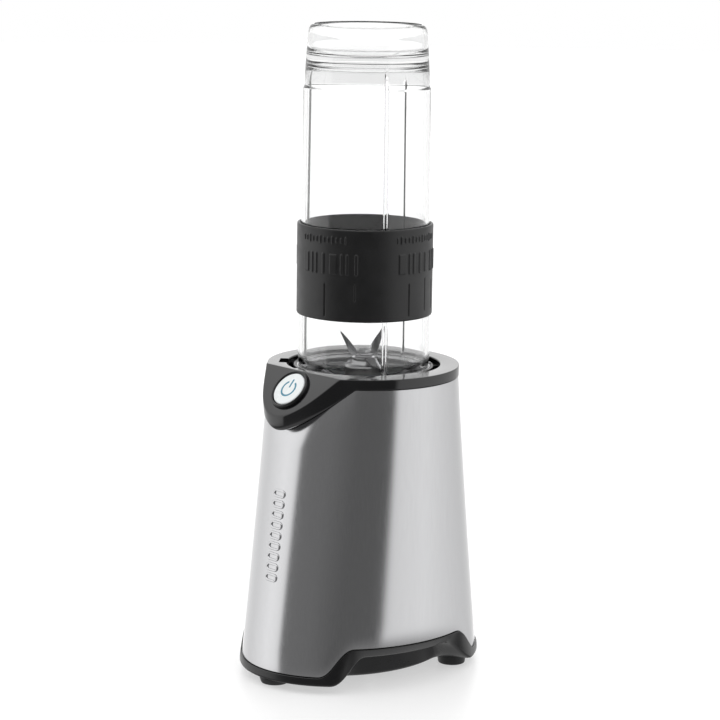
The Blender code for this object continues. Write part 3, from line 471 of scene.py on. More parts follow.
def make_finishes():
    """One material for each of the record's slots, and two duller looks of blade_steel."""
    return {
        "brushed_steel": brushed(
            "brushed_steel", (0.60, 0.60, 0.61), 0.17, (2600.0, 2600.0, 14.0), 0.03, 0.1
        ),
        "gloss_black": grained(
            "gloss_black", (0.004, 0.004, 0.0045), 0.10, scale=500.0, depth=0.002, gloss=0.7
        ),
        "satin_black": grained("satin_black", (0.006, 0.006, 0.0065), 0.30, scale=1600.0),
        "dark_rubber": grained("dark_rubber", (0.007, 0.007, 0.0075), 0.42, scale=1400.0),
        "clear_tritan": clear_plastic("clear_tritan"),
        "button_white": grained(
            "button_white", (0.86, 0.89, 0.89), 0.28, scale=700.0, spread=0.02, depth=0.004
        ),
        "teal_sign": grained(
            "teal_sign", (0.05, 0.24, 0.34), 0.35, scale=700.0, spread=0.05, depth=0.004
        ),
        "blade_steel": brushed(
            "blade_steel", (0.66, 0.66, 0.67), 0.16, (1800.0, 300.0, 300.0), 0.04
        ),
        "blasted_steel": grained(
            "blasted_steel", (0.44, 0.44, 0.445), 0.26, 1.0, spread=0.05, depth=0.004
        ),
        "satin_steel": grained(
            "satin_steel", (0.62, 0.62, 0.625), 0.42, 1.0, spread=0.05, depth=0.004
        ),
        "copper_wire": brushed(
            "copper_wire", (0.60, 0.24, 0.10), 0.35, (200.0, 200.0, 2600.0), 0.2
        ),
        "lamination": brushed("lamination", (0.26, 0.27, 0.29), 0.45, (60.0, 60.0, 3000.0), 0.25),
        "white_nylon": grained("white_nylon", (0.62, 0.62, 0.58), 0.5),
        "brass_bush": brushed("brass_bush", (0.62, 0.45, 0.19), 0.3, (900.0, 900.0, 900.0)),
        "carbon": grained("carbon", (0.03, 0.03, 0.03), 0.7),
        "circuit_board": grained("circuit_board", (0.02, 0.12, 0.04), 0.45, scale=500.0, spread=0.3),
        "silicone": grained("silicone", (0.35, 0.37, 0.37), 0.55),
    }


FINISHES = make_finishes()


def dress_cad_nodes():
    """Gives each CAD node that stays in the model its slot's finish."""
    for part in frame["record"]["subparts"]:
        node = frame["nodes"][part["node"]]
        node.data.materials.clear()
        node.data.materials.append(FINISHES[part["material_slot"]])


# ---------------------------------------------------------------- the base's shells


def steel_skin():
    """The tapered sleeve of brushed steel, with eased edges."""

    def section(polar):
        bottom = skin_low(polar) / MM
        top = (chin_low(polar) - SKIN_GAP) / MM
        wall = SKIN_WALL / MM
        rows = 10
        corners = [(skin_radius(polar, bottom * MM) / MM - wall, bottom, 0.2)]
        for row in range(rows + 1):
            height = bottom + (top - bottom) * row / rows
            fillet = 0.35 if row in (0, rows) else 0.0
            corners.append((skin_radius(polar, height * MM) / MM, height, fillet))
        corners.append((skin_radius(polar, top * MM) / MM - wall, top, 0.2))
        return rounded(corners, 2)

    piece = add("steel_shell", swept(section, even(360)), "base", "brushed_steel", ["steel_skin"])
    cut(piece, bore([(6.2, -8.0), (6.2, 8.0)], 48), gland_frame())


def collar_section(polar):
    """The collar's section: the side, the facet at the front, the flat top and the mouth's edge."""
    cosine = math.cos(from_front(polar))
    faces_forward = cosine > 0.1
    bottom = chin_low(polar)
    bulge = chin_bulge(polar)
    side_at_zero = COLLAR_R + bulge * (CHIN_REACH - CHIN_FLARE * (CHIN_LOW + CHIN_KNEE))
    facet_at_zero = -FACET_POINT.y + FACET_POINT.z * FACET_SLOPE
    meet = COLLAR_TOP
    if faces_forward:
        meet = (facet_at_zero - side_at_zero * cosine) / (bulge * CHIN_FLARE * cosine + FACET_SLOPE)
    meet = min(meet, COLLAR_TOP)
    side = collar_radius(polar, meet)
    crease = side - 0.8 * MM
    if faces_forward:
        crease = min(crease, (facet_at_zero - COLLAR_TOP * FACET_SLOPE) / cosine)
    notch = max(sector_share(polar, centre, MOUTH_NOTCH_HALF_ANGLE) for centre in NOTCH_POLAR)
    mouth = MOUTH_R + (NOTCH_R - MOUTH_R) * notch
    plate = COLLAR_TOP - COLLAR_WALL
    inside = min(collar_radius(polar, bottom) - COLLAR_WALL, skin_radius(polar, bottom) - SKIN_WALL)
    under_plate = min(crease, inside) - 2.5 * MM if meet < COLLAR_TOP else inside
    corners = [
        (inside, bottom, 0.0),
        (collar_radius(polar, bottom), bottom, 0.5 * MM + 2.5 * MM * bulge),
        (side, meet, 1.0 * MM),
        (crease, COLLAR_TOP, 0.4 * MM),
        (mouth, COLLAR_TOP, 0.9 * MM),
        (mouth, plate, 0.0),
        (under_plate, plate, 0.0),
        (inside, max(min(meet, plate) - 3.5 * MM, bottom + 0.5 * MM), 0.0),
    ]
    return rounded([(x / MM, y / MM, fillet / MM) for x, y, fillet in corners], 5)


def sector_share(polar, centre, half_angle):
    """1 within half_angle of centre and 0 outside it, with a steep wall between."""
    wall = math.radians(0.25)
    return 1.0 - smooth((abs(between(polar, centre)) - half_angle) / wall + 0.5)


def top_collar():
    """The collar, with the notches, the button's well, the hole for its stem and the slit."""
    edges = both_ends(NOTCH_POLAR, MOUTH_NOTCH_HALF_ANGLE)
    shape = swept(collar_section, with_extra(even(360), edges))
    piece = add("collar_shell", shape, "base", "gloss_black", ["top_collar"])
    cut(piece, bore([(12.9, -6.0), (12.9, 9.0)], 96), facet_frame())
    cut(piece, bore([(3.0, -12.0), (3.0, -5.0)], 32), facet_frame())
    half = SLIT_WIDTH / 2.0
    outline = [(MOUTH_R, -half), (SLIT_END_R, -half), (SLIT_END_R, half), (MOUTH_R, half)]
    slit = prism(outline, COLLAR_TOP - 2.0 * MM, COLLAR_TOP + 2.0 * MM)
    cut(piece, slit, Matrix.Rotation(NOTCH_POLAR[0], 4, "Z"))


def rim_radius(polar, height):
    """The black rim's outside, a little proud of the steel."""
    return skin_radius(polar, height) + RIM_PROUD


def pan_radius(polar):
    """The oval pan under the base."""
    return 1.0 / math.hypot(math.cos(polar) / PAN_X, math.sin(polar) / PAN_Y)


def bottom_housing():
    """The black moulding under the steel, with vents, screw sinks and wells for the rear feet."""

    def section(polar):
        rim = (RIM_LOW + (ARCH_RISE - 1.0 * MM) * arch(polar, RIM_INSET)) / MM
        top = (skin_low(polar) - SKIN_GAP) / MM
        pan = pan_radius(polar) / MM
        edge = (rim_radius(polar, rim * MM) - ARCH_TUCK * arch(polar, RIM_INSET)) / MM
        upper = rim_radius(polar, top * MM) / MM
        floor = PAN_LOW / MM
        corners = [
            (0.0, floor, 0.0),
            (pan, floor, 2.0),
            (pan + 2.5, rim, 2.0),
            (edge, rim, 1.8),
            (upper, top, 0.4),
            (upper - 5.0, top, 0.3),
            (upper - 6.0, rim + 3.0, 0.5),
            (pan, rim + 3.0, 1.0),
            (pan - 3.0, floor + 3.0, 1.0),
            (0.0, floor + 3.0, 0.0),
        ]
        return rounded(corners, 4)

    shell = swept(section, even(300), closed=False)
    piece = add("housing_shell", shell, "base", "satin_black", ["bottom_housing"])
    for side in ("left", "right"):
        well = bore([(9.7, -1.0), (9.7, 10.4), (7.9, 10.4), (7.9, 19.8)], 48)
        cut(piece, well, upright(f"rubber_foot_{side}"))
    for index in range(1, 4):
        sink = bore([(3.8, 0.0), (3.8, 6.7), (2.1, 6.7), (2.1, 20.0)], 32)
        cut(piece, sink, upright(f"base_screw_{index}"))
    vent_pitch = 8.0
    for row in range(-2, 3):
        outline = stadium(17.0 - 2.5 * abs(row), 1.5)
        vent = prism([(x * MM, (y + vent_pitch * row) * MM) for x, y in outline], 0.0, 15.0 * MM)
        cut(piece, vent)


def stadium(half_length, half_width, steps=8):
    """Points round a pill, in millimetres, along X."""
    points = []
    run = half_length - half_width
    for end in (1.0, -1.0):
        for step in range(steps + 1):
            swing = math.radians(-90.0 + 180.0 * step / steps)
            along = run + half_width * math.cos(swing)
            points.append((end * along, end * half_width * math.sin(swing)))
    return points


def prism(outline, bottom, top):
    """A straight-sided body over an outline of (x, y) points in metres."""
    shape = bmesh.new()
    lower = [shape.verts.new((x, y, bottom)) for x, y in outline]
    upper = [shape.verts.new((x, y, top)) for x, y in outline]
    shape.faces.new(lower)
    shape.faces.new(upper)
    bridge(shape, lower, upper)
    return shape


def rubber_feet():
    """The three cone feet, with eased soles and a shallow moulding ring."""
    for side in ("front", "right", "left"):
        node = f"rubber_foot_{side}"
        top = high(node).z / MM
        sole = [(4.0, 0.4, 0.2), (4.4, 0.0, 0.2)]
        if side == "front":
            cone = [(8.0, 0.0, 0.8), (9.2, top - 0.9, 0.4), (9.2, top, 0.2)]
        else:
            cone = [(8.0, 0.0, 0.9), (9.0, 7.6, 0.6), (9.4, 8.4, 0.6), (9.4, 10.0, 0.5)]
            cone += [(7.5, 10.0, 0.3), (7.5, top, 0.3)]
        shape = turned(sole + cone, 64, closed=False)
        add(f"foot_{side}", shape, "base", "dark_rubber", [node], upright(node))


def gland_frame():
    """The cord inlet's frame: Z points square out of the tapered steel at the rear."""
    height = (low("cord_gland").z + high("cord_gland").z) / 2.0 + 1.0 * MM
    taper = math.atan2(SKIN_FOOT_Y - SKIN_TOP_R, COLLAR_LOW - SKIN_FOOT_Z)
    place = (0.0, skin_radius(HALF_PI, height), height)
    return Matrix.Translation(place) @ Matrix.Rotation(taper - HALF_PI, 4, "X")


def cord_inlet():
    """The bush in the rear wall that a mains lead would pass through."""
    corners = [(3.4, -8.0, 0.3), (5.9, -8.0, 0.3), (5.9, 0.3, 0.0)]
    corners += [(8.4, 0.3, 0.3), (7.6, 1.2, 0.6), (3.4, 1.2, 0.8)]
    add("inlet_bush", turned(corners, 64), "base", "dark_rubber", ["cord_gland"], gland_frame())


# ---------------------------------------------------------------- the raised column on the steel


def on_steel(across, height, rise):
    """A point of the front of the steel: across from the middle, up, and proud of the surface."""
    polar = -HALF_PI + across / skin_radius(-HALF_PI, height)
    radius = skin_radius(polar, height) + rise
    return Vector((radius * math.cos(polar), radius * math.sin(polar), height))


def raised_ring(centre, half_length, half_width, hole):
    """A long raised ring that follows the steel. Sizes in millimetres."""
    rise = 0.7
    levels = [(0.0, -0.4), (0.0, rise - 0.35), (0.12, rise - 0.12), (0.4, rise)]
    shape = bmesh.new()

    def loop(inset, level, inner):
        length = half_length - inset
        width = half_width - inset
        if inner:
            length = half_length - half_width + hole + inset
            width = hole + inset
        points = stadium(length, width, 10)
        return [shape.verts.new(on_steel(x * MM, (centre + y) * MM, level * MM)) for x, y in points]

    loops = [loop(inset, level, False) for inset, level in levels]
    loops += [loop(inset, level, True) for inset, level in reversed(levels)]
    loops.append(loops[0])
    for near, far in zip(loops, loops[1:]):
        bridge(shape, near, far)
    return shape


def raised_column():
    """A plain column of equal rings up the front of the steel."""
    low_end = 63.5
    pitch = 6.1
    for index in range(9):
        shape = raised_ring(low_end + pitch * index, 5.0, 2.4, 1.1)
        add(f"raised_mark_{index + 1}", shape, "base", "brushed_steel")


# ---------------------------------------------------------------- the power button


def power_button():
    """The raised bezel, the cap with its stem, and the sign let into the cap."""
    place = facet_frame()
    bezel = [(11.15, -2.6, 0.2), (12.75, -2.6, 0.2), (12.75, 1.3, 0.8)]
    bezel += [(12.2, 2.35, 0.6), (11.15, 2.0, 0.5)]
    add("bezel_ring", turned(bezel), "base", "satin_black", ["button_bezel"], place)
    cap = [(2.4, -5.5, 0.2), (2.4, -1.7, 0.4), (10.6, -1.7, 0.3)]
    cap += [(10.75, 1.25, 0.3), (10.3, 1.78, 0.6), (5.0, 1.9, 1.0)]
    disc = turned(cap, closed=False)
    add("cap_disc", disc, "power_button", "button_white", ["button_cap"], place)
    add("power_sign", power_sign(), "power_button", "teal_sign", ["power_symbol"], place)


def power_sign():
    """The usual stand-by sign: a broken ring and a bar, as one thin inlay."""
    shape = bmesh.new()
    middle = 4.9
    half = 0.58
    underside = 1.6
    face = 1.93
    gap = math.radians(32.0)
    steps = 48
    ring = []
    for step in range(steps + 1):
        swing = HALF_PI + gap + (math.tau - 2.0 * gap) * step / steps
        ring.append((math.cos(swing), math.sin(swing)))
    strip = [((middle - half) * x, (middle - half) * y) for x, y in ring]
    strip += [((middle + half) * x, (middle + half) * y) for x, y in reversed(ring)]
    bar = [(y, x + 3.5) for x, y in stadium(2.9, half)]
    for outline in (strip, bar):
        lower = [shape.verts.new((x * MM, y * MM, underside * MM)) for x, y in outline]
        upper = [shape.verts.new((x * MM, y * MM, face * MM)) for x, y in outline]
        bridge(shape, lower, upper)
        count = len(outline)
        if outline is bar:
            shape.faces.new(lower)
            shape.faces.new(upper)
            continue
        for index in range(count // 2 - 1):
            partner = count - 1 - index
            shape.faces.new((lower[index], lower[index + 1], lower[partner - 1], lower[partner]))
            shape.faces.new((upper[index], upper[index + 1], upper[partner - 1], upper[partner]))
    return shape


# ---------------------------------------------------------------- recess and blade unit


def recess_cup():
    """The recess under the mouth, with its bayonet pockets."""
    top = high("recess_cup").z / MM
    bottom = low("recess_cup").z / MM
    floor = bottom + 3.0
    wall = 42.0
    track_roof = 166.6
    track_floor = 156.8
    half = LUG_HALF_ANGLE + TWIST / 2.0 + math.radians(3.0)

    def pocket(polar):
        return max(sector_share(polar, centre - TWIST / 2.0, half) for centre in NOTCH_POLAR)

    def entry(polar):
        return max(sector_share(polar, centre, NOTCH_HALF_ANGLE) for centre in NOTCH_POLAR)

    def section(polar):
        track = wall + 3.0 * pocket(polar)
        upper = wall + 3.0 * entry(polar)
        outside = 45.3 + 2.3 * smooth(2.0 * pocket(polar))
        corners = [
            (16.0, bottom, 0.3),
            (outside, bottom, 0.4),
            (outside, top, 0.0),
            (upper, top, 0.0),
            (upper, track_roof, 0.0),
            (track, track_roof, 0.0),
            (track, track_floor, 0.0),
            (wall, track_floor, 0.0),
            (wall, floor, 1.5),
            (16.0, floor, 0.4),
        ]
        return rounded(corners, 4)

    edges = both_ends(NOTCH_POLAR, NOTCH_HALF_ANGLE)
    edges += both_ends([centre - TWIST / 2.0 for centre in NOTCH_POLAR], half)
    polars = with_extra(even(240), edges)
    shape = swept(section, polars)
    piece = add("recess_well", shape, "base", "satin_black", ["recess_cup"], sharp=30.0)
    under_facet = facet_frame() @ Matrix.Translation((0.0, 0.0, -4.8 * MM))
    cut(piece, bore([(60.0, 0.0), (60.0, 60.0)], 4), under_facet)
    cut(piece, bore([(1.9, 140.0), (1.9, 160.0)], 32), upright("interlock_plunger"))


def interlock_coil():
    """The safety pin's return spring: a helix of round wire."""
    lowest = low("interlock_spring")
    highest = high("interlock_spring")
    middle = (lowest + highest) / 2.0
    wire = 0.3 * MM
    radius = (highest.x - lowest.x) / 2.0 - wire
    length = highest.z - lowest.z
    turns = 5
    steps = 24 * turns
    sides = 8
    shape = bmesh.new()
    rings = []
    for step in range(steps + 1):
        angle = math.tau * turns * step / steps
        level = lowest.z + wire + (length - 2.0 * wire) * step / steps
        ring = []
        for side in range(sides):
            around = math.tau * side / sides
            reach = radius + wire * math.cos(around)
            place = (middle.x + reach * math.cos(angle), middle.y + reach * math.sin(angle))
            ring.append(shape.verts.new((*place, level + wire * math.sin(around))))
        rings.append(ring)
    for near, far in zip(rings, rings[1:]):
        bridge(shape, near, far)
    shape.faces.new(rings[0])
    shape.faces.new(rings[-1])
    piece = add("interlock_coil", shape, "base", "blade_steel", ["interlock_spring"])
    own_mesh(piece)


def blade_holder():
    """The holder's cup with its two lugs, each with a ramp under it."""
    bottom = low("blade_holder").z / MM
    top = high("blade_holder").z / MM

    def section(polar):
        lug = max(sector_share(polar, centre, LUG_HALF_ANGLE) for centre in NOTCH_POLAR)
        reach = 41.0 + 3.2 * lug
        ahead = min((between(polar, centre) for centre in NOTCH_POLAR), key=abs)
        under = min(max(161.0 - 2.0 * ahead / TWIST, 159.8), 162.0)
        corners = [
            (9.6, bottom + 2.0, 0.2),
            (24.0, bottom + 2.0, 0.5),
            (28.0, bottom, 1.0),
            (41.0, bottom, 0.8),
            (41.0, under, 0.0),
            (reach, under, 0.4 * lug),
            (reach, 166.0, 0.4 * lug),
            (41.0, 166.0, 0.0),
            (41.0, top, 0.6),
            (39.1, top, 0.4),
            (39.1, 164.4, 0.0),
            (9.6, 164.4, 0.0),
        ]
        return rounded(corners, 3)

    edges = both_ends(NOTCH_POLAR, LUG_HALF_ANGLE)
    polars = with_extra(even(192), edges)
    shape = swept(section, polars)
    add("holder_cup", shape, "blade_unit", "satin_black", ["blade_holder"], sharp=30.0)


def holder_liner():
    """The steel dish that lines the cup, with the thread for the bottle's neck in its wall."""
    top = high("blade_holder").z / MM - 0.3
    thread_top = top - 0.8
    thread_low = 166.0
    rows = 72

    def section(polar):
        outline = [(12.0, 164.5, 0.0), (39.0, 164.5, 0.4), (39.0, top, 0.2), (38.45, top, 0.2)]
        points = rounded(outline, 2)
        for row in range(rows):
            height = thread_top - (thread_top - thread_low) * row / (rows - 1)
            fade = smooth((175.4 - height) / 1.4)
            relief = 0.6 * thread_wave(polar, height) * fade
            points.append(Vector((38.55 - relief, height)) * MM)
        return points + rounded([(38.4, 165.5, 0.0), (38.0, 165.1, 0.0), (12.0, 165.1, 0.0)])

    shape = swept(section, even(240))
    add("holder_liner", shape, "blade_unit", "blade_steel", sharp=50.0, look="blasted_steel")


def thread_wave(polar, height):
    """0 to 1 across one ridge of the two-start thread, whose height is in millimetres."""
    starts = 2
    pitch = 2.0
    phase = (height / pitch - starts * polar / math.tau) % 1.0
    return smooth(1.0 - abs(phase - 0.5) * 3.2)


def spindle_parts():
    """The dome round the spindle's bushes, and the spindle with its washer and nut."""
    dome = [
        (5.0, 158.6, 0.2),
        (9.3, 158.6, 0.3),
        (9.3, 165.4, 0.0),
        (11.3, 165.4, 0.5),
        (11.2, 179.2, 1.6),
        (10.0, 180.6, 1.0),
        (7.0, 181.2, 0.8),
        (6.6, 183.8, 0.5),
        (5.0, 183.8, 0.2),
    ]
    shape = turned(dome)
    add("spindle_dome", shape, "blade_unit", "blade_steel", ["spindle_housing"], look="satin_steel")
    rod = [(2.3, 149.6, 0.3), (2.5, 150.2, 0.0), (2.5, 188.8, 0.3), (1.9, 189.4, 0.4)]
    add("spindle_rod", turned(rod, 48, closed=False), "blades", "blade_steel", ["blade_spindle"])
    washer = [(2.8, 185.8, 0.1), (5.4, 185.8, 0.3), (5.4, 186.7, 0.3), (2.8, 186.7, 0.1)]
    add("lock_washer", turned(washer, 48), "blades", "blade_steel", ["blade_washer"])
    add("dome_nut", hex_nut(), "blades", "blade_steel", ["blade_nut"], look="satin_steel")


def hex_nut():
    """A hexagon nut with chamfered corners."""
    bottom = low("blade_nut").z / MM
    top = high("blade_nut").z / MM

    def section(polar):
        flat = 3.95 / math.cos((polar + math.pi / 6.0) % (math.pi / 3.0) - math.pi / 6.0)
        face = min(flat, 4.25)
        corners = [(2.8, bottom, 0.2), (face, bottom, 0.1), (flat, bottom + 0.5, 0.1)]
        corners += [(flat, top - 0.5, 0.1), (face, top, 0.1), (2.8, top, 0.3)]
        return rounded(corners, 2)

    return swept(section, even(144))


def knife(name, node, level, rise, polar):
    """A two-winged knife: a hub with wings bent up or down, each ground along one side."""
    hub = [(2.8, level, 0.1), (6.6, level, 0.2), (6.6, level + 1.2, 0.2), (2.8, level + 1.2, 0.1)]
    piece = add(name, turned(hub, 64), "blades", "blade_steel", [node], sharp=20.0)
    for index in range(2):
        turn = Matrix.Rotation(polar + math.pi * index, 4, "Z")
        cut(piece, wing(level, rise), turn, "UNION")
    piece.data.set_sharp_from_angle(angle=math.radians(20.0))


def wing(level, rise):
    """One wing along +X, from inside the hub, over the bend and out to a raked point."""
    root = 4.6
    bend = 6.6
    tip = 18.4
    steps = 14
    shape = bmesh.new()
    sections = []
    for step in range(steps + 1):
        share = step / steps
        along = root + (tip - root) * share
        out = max(along - bend, 0.0) / (tip - bend)
        lift = rise * (out + 0.06 * math.sin(out * math.pi))
        lead = 4.1 - 3.2 * out**1.15
        trail = -4.1 + 4.4 * out**1.6
        ground = min(2.6, (lead - trail) * 0.62)
        thick = 1.1 - 0.3 * out
        middle = level + 0.6 + lift
        section = [
            (lead, 0.04),
            (lead - ground, thick / 2.0),
            (trail, thick / 2.0),
            (trail, -thick / 2.0),
            (lead, -thick / 2.0 * 0.25),
        ]
        points = [(along * MM, y * MM, (middle + z) * MM) for y, z in section]
        sections.append([shape.verts.new(point) for point in points])
    for near, far in zip(sections, sections[1:]):
        bridge(shape, near, far)
    shape.faces.new(sections[0])
    shape.faces.new(sections[-1])
    return shape


def blades():
    """The lower knife, bent down, and the upper one, bent up and a quarter turn from it."""
    knife("lower_knife", "lower_blade", 184.3, -8.0, 0.0)
    knife("upper_knife", "upper_blade", 187.0, 14.9, HALF_PI)


# ---------------------------------------------------------------- bottle and sleeve


def bottle():
    """The clear bottle: a threaded neck, a gentle waist, a stepped foot and three ribs inside."""
    top = BOTTLE_TOP / MM
    mouth = BOTTLE_MOUTH / MM
    centres = [RIB_POLAR + math.tau * index / 3.0 for index in range(3)]
    rows = 56

    def rib(polar):
        arc = min(abs(between(polar, centre)) for centre in centres) * 34.5
        return 1.3 * smooth((1.5 - arc) / 1.1)

    def section(polar):
        outside = [Vector((36.0, mouth + 0.1)), Vector((36.4, mouth + 0.3))]
        for row in range(rows):
            height = mouth + 1.0 + 10.0 * row / (rows - 1)
            fade = smooth((height - mouth - 1.6) / 1.2) * smooth((mouth + 8.6 - height) / 1.2)
            outside.append(Vector((36.5 + 0.4 * thread_wave(polar, height) * fade, height)))
        outline = [point * MM for point in outside]
        proud = rib(polar)
        body = [
            (36.6, 178.5, 0.6),
            (38.0, 180.7, 0.8),
            (38.5, 183.7, 1.5),
            (38.5, 205.0, 8.0),
            (37.3, 272.0, 20.0),
            (37.0, 343.2, 0.5),
            (36.3, 344.0, 0.5),
            (35.7, 360.0, 5.0),
            (34.4, 374.5, 2.5),
            (33.7, 377.6, 1.2),
            (32.3, top, 1.0),
            (30.9, top, 0.6),
            (31.8, 376.0, 1.5),
            (33.0, 364.5, 2.0),
            (31.0, 361.4, 2.0),
            (12.0, 360.6, 4.0),
            (0.0, 360.6, 0.0),
        ]
        inside = [
            (0.0, 358.4, 0.0),
            (30.0, 358.2, 2.5),
            (33.5 - 0.1 * proud, 354.6, 2.0),
            (34.7 - proud, 345.0, 2.0),
            (34.8 - proud, 340.0, 0.0),
            (35.1 - proud, 272.0, 20.0),
            (36.3 - proud, 205.0, 8.0),
            (36.3 - proud, 185.2, 1.5),
            (34.4, 177.6, 2.0),
            (34.4, mouth + 0.2, 0.3),
        ]
        outline += rounded([(36.5, mouth + 11.1, 0.0), *body], 4)[1:]
        outline += rounded([*inside, (36.0, mouth + 0.1, 0.0)], 4)[:-1]
        return outline

    polars = with_extra(even(180), centres, math.radians(2.4), math.radians(0.3))
    shape = swept(section, polars)
    bmesh.ops.remove_doubles(shape, verts=shape.verts, dist=0.001 * MM)
    add("bottle_clear", shape, "bottle", "clear_tritan", ["bottle"], sharp=60.0)


def edge_step(distance, width=0.45):
    """1 inside a shape and 0 outside it, for a signed distance that is negative inside."""
    return smooth(0.5 - distance / width)


def pill_distance(x, y, half_x, half_y):
    """Signed distance to an upright or level pill about the origin."""
    radius = min(half_x, half_y)
    over_x = max(abs(x) - (half_x - radius), 0.0)
    over_y = max(abs(y) - (half_y - radius), 0.0)
    return math.hypot(over_x, over_y) - radius


def in_zone(around, centre, half):
    """Whether this angle is within half of one of four centres a quarter turn apart, in degrees."""
    return (around - centre + half) % 90.0 < 2.0 * half


def sleeve_mark(index, x, y):
    """One of three plain marks about the origin, in millimetres: a block, two bars or one."""
    kind = index % 3
    if kind == 0:
        return edge_step(max(abs(x) - 2.3, abs(y) - 5.6))
    if kind == 1:
        return edge_step(pill_distance(abs(x) - 1.7, y, 0.8, 6.0))
    return edge_step(pill_distance(x, y, 0.9, 6.0))


def sleeve_relief(polar, height):
    """How far the sleeve's pattern stands up, up to 1: ticks, a row of marks, and grooves below."""
    around = math.degrees(polar) % 360.0
    degree = math.radians(1.0) * SLEEVE_R / MM
    z = height / MM - SLEEVE_LOW / MM
    if 43.0 < z < 50.0 and in_zone(around, -80.0, 24.0):
        tick = 4.0
        cell = (around % tick - tick / 2.0) * degree
        tall = 1.5 + 0.7 * (int(around / tick) % 3 == 0)
        return edge_step(pill_distance(cell, z - 46.8, 0.5, tall))
    row = -74.0
    row_half = 30.0
    if 25.0 < z < 41.0 and in_zone(around, row, row_half):
        cell = 10.0
        across = (around - row + row_half) % 90.0
        return sleeve_mark(int(across / cell), (across % cell - cell / 2.0) * degree, z - 33.0)
    relief = 0.0
    for line, middle, half in SLEEVE_GROOVES:
        offset = (around - line + 90.0) % 180.0 - 90.0
        relief = min(relief, -edge_step(pill_distance(offset * degree, z - middle, 0.45, half)))
    return relief


def grip_sleeve():
    """The rubber band, with its raised pattern, rolled edges and a smooth bore."""
    rows = 130
    base = SLEEVE_R / MM - 0.55
    bottom = SLEEVE_LOW / MM
    top = SLEEVE_HIGH / MM

    def section(polar):
        lower = [(38.7, bottom, 0.0), (base, bottom, 1.2), (base, bottom + 3.0, 0.0)]
        upper = [(base, top - 3.0, 0.0), (base, top, 1.2), (37.8, top, 0.6), (38.7, bottom, 0.6)]
        outline = rounded(lower, 5)[:-1]
        for row in range(rows + 1):
            height = bottom + 2.0 + (top - bottom - 4.0) * row / rows
            relief = 0.5 * sleeve_relief(polar, height * MM)
            outline.append(Vector((base + relief, height)) * MM)
        outline += rounded(upper, 5)[1:]
        return outline[1:]

    shape = swept(section, even(900))
    add("sleeve_band", shape, "bottle", "dark_rubber", ["grip_sleeve"], sharp=60.0)


# ---------------------------------------------------------------- studio


# The studio's brightness round the object, at each angle in degrees from the side behind the camera.
STUDIO_STOPS = (
    (-180.0, 1.5),
    (-171.0, 1.5),
    (-162.0, 1.0),
    (-130.0, 0.95),
    (-90.0, 1.25),
    (-71.0, 1.15),
    (-66.0, 0.22),
    (-30.0, 0.20),
    (0.0, 0.14),
    (38.0, 0.14),
    (44.0, 1.0),
    (80.0, 1.1),
    (140.0, 0.8),
    (162.0, 0.9),
    (171.0, 1.5),
    (180.0, 1.5),
)


def studio_ramp(tree, share):
    """The brightness at each share of a turn, from STUDIO_STOPS."""
    ramp = tree.nodes.new("ShaderNodeValToRGB")
    tree.links.new(share, ramp.inputs["Fac"])
    elements = ramp.color_ramp.elements
    for element, (degrees, level) in zip(elements, (STUDIO_STOPS[0], STUDIO_STOPS[-1])):
        element.position = degrees / 360.0 + 0.5
        element.color = (level, level, level, 1.0)
    for degrees, level in STUDIO_STOPS[1:-1]:
        element = elements.new(degrees / 360.0 + 0.5)
        element.color = (level, level, level, 1.0)
    return ramp.outputs["Color"]


def studio_world():
    """A bright studio, with a dark side in front that the steel mirrors as its dark band."""
    world = bpy.data.worlds.new("studio")
    bpy.context.scene.world = world
    world.use_nodes = True
    tree = world.node_tree
    tree.nodes.clear()
    place = tree.nodes.new("ShaderNodeTexCoord")
    turn = tree.nodes.new("ShaderNodeVectorRotate")
    turn.rotation_type = "Z_AXIS"
    turn.inputs["Angle"].default_value = -CAMERA_AZIMUTH
    tree.links.new(place.outputs["Generated"], turn.inputs["Vector"])
    parts = tree.nodes.new("ShaderNodeSeparateXYZ")
    tree.links.new(turn.outputs["Vector"], parts.inputs["Vector"])
    back = math_node(tree, "MULTIPLY", parts.outputs["Y"], -1.0)
    angle = math_node(tree, "ARCTAN2", parts.outputs["X"], back)
    share = math_node(tree, "MULTIPLY_ADD", angle, 1.0 / math.tau, 0.5)
    rise = parts.outputs["Z"]
    over = height_mix(tree, rise, studio_ramp(tree, share), 0.45, 0.75, 1.5)
    shaded = height_mix(tree, rise, over, -0.36, -0.5, 0.3)
    under = height_mix(tree, rise, shaded, -0.6, -0.8, 0.7)
    seen = tree.nodes.new("ShaderNodeLightPath")
    through_glass = plain_mix(tree, seen.outputs["Is Transmission Ray"], under, 0.88)
    backdrop = plain_mix(tree, seen.outputs["Is Camera Ray"], through_glass, 1.0)
    light = tree.nodes.new("ShaderNodeBackground")
    tree.links.new(backdrop, light.inputs["Color"])
    out = tree.nodes.new("ShaderNodeOutputWorld")
    tree.links.new(light.outputs["Background"], out.inputs["Surface"])


def height_mix(tree, height, colour, start, end, level):
    """This colour, turning to a plain level as the height goes from start to end."""
    span = tree.nodes.new("ShaderNodeMapRange")
    span.inputs["From Min"].default_value = start
    span.inputs["From Max"].default_value = end
    tree.links.new(height, span.inputs["Value"])
    return plain_mix(tree, span.outputs["Result"], colour, level)


def plain_mix(tree, factor, colour, level):
    """This colour, turning to a plain level as the factor goes from 0 to 1."""
    mix = tree.nodes.new("ShaderNodeMixRGB")
    tree.links.new(factor, mix.inputs["Fac"])
    tree.links.new(colour, mix.inputs["Color1"])
    mix.inputs["Color2"].default_value = (level, level, level, 1.0)
    return mix.outputs["Color"]


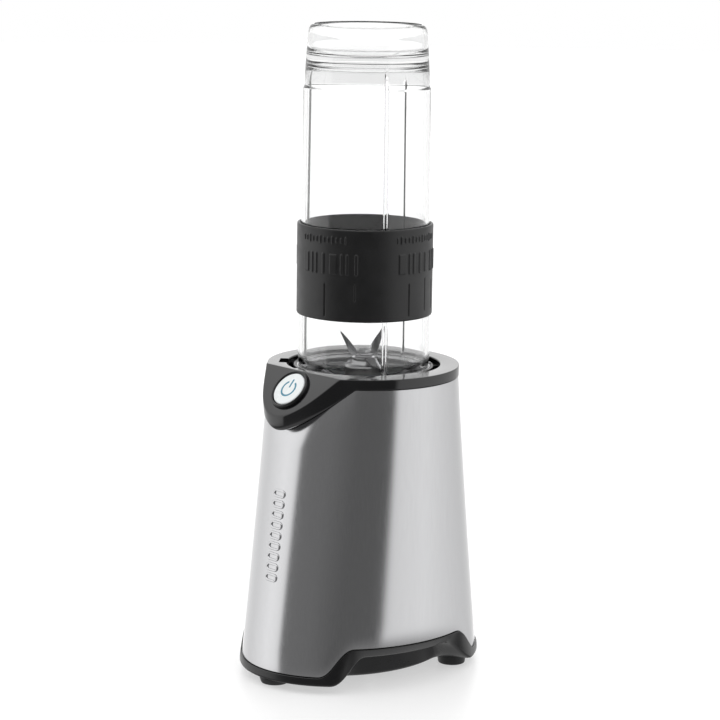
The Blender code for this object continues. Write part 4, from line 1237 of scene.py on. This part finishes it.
def math_node(tree, operation, value, *numbers):
    """A Math node's result, from a socket and further sockets or numbers."""
    node = tree.nodes.new("ShaderNodeMath")
    node.operation = operation
    tree.links.new(value, node.inputs[0])
    for index, number in enumerate(numbers):
        if isinstance(number, float):
            node.inputs[index + 1].default_value = number
        else:
            tree.links.new(number, node.inputs[index + 1])
    return node.outputs["Value"]


def floor():
    """A pale sweep under the object, which its glossy parts don't mirror."""
    shape = bmesh.new()
    bmesh.ops.create_circle(shape, cap_ends=True, segments=96, radius=6.0)
    mesh = bpy.data.meshes.new("floor")
    shape.to_mesh(mesh)
    shape.free()
    plane = linked("floor", mesh)
    made, tree, shader = finish("floor_white", (0.42, 0.42, 0.42), 0.35)
    shader.inputs["IOR"].default_value = 1.3
    shader.inputs["Emission Color"].default_value = (1.0, 1.0, 1.0, 1.0)
    shader.inputs["Emission Strength"].default_value = 0.52
    vary_roughness(tree, shader, noise(tree, 3.0), 0.3, 0.4)
    mesh.materials.append(made)
    plane.visible_glossy = False


def camera():
    """A long lens at the front right of the object, a little above it."""
    data = bpy.data.cameras.new("camera")
    data.sensor_width = 36.0
    data.lens = 127.9
    turn = math.radians(0.078)
    dip = math.radians(10.5)
    tilt = math.radians(0.78)
    eye = linked("camera", data)
    reach = 1.477
    rise = 0.457
    eye.location = (reach * math.sin(CAMERA_AZIMUTH), -reach * math.cos(CAMERA_AZIMUTH), rise)
    yaw = Matrix.Rotation(CAMERA_AZIMUTH + turn, 4, "Z")
    pitch = Matrix.Rotation(HALF_PI - dip, 4, "X")
    roll = Matrix.Rotation(tilt, 4, "Z")
    eye.rotation_euler = (yaw @ pitch @ roll).to_euler()
    bpy.context.scene.camera = eye
    bpy.context.scene.view_settings.view_transform = "Standard"


def build():
    """Every piece of the object, then the studio round it."""
    dress_cad_nodes()
    steel_skin()
    top_collar()
    bottom_housing()
    rubber_feet()
    cord_inlet()
    raised_column()
    power_button()
    recess_cup()
    interlock_coil()
    blade_holder()
    holder_liner()
    spindle_parts()
    blades()
    bottle()
    grip_sleeve()
    floor()
    studio_world()
    camera()


build()
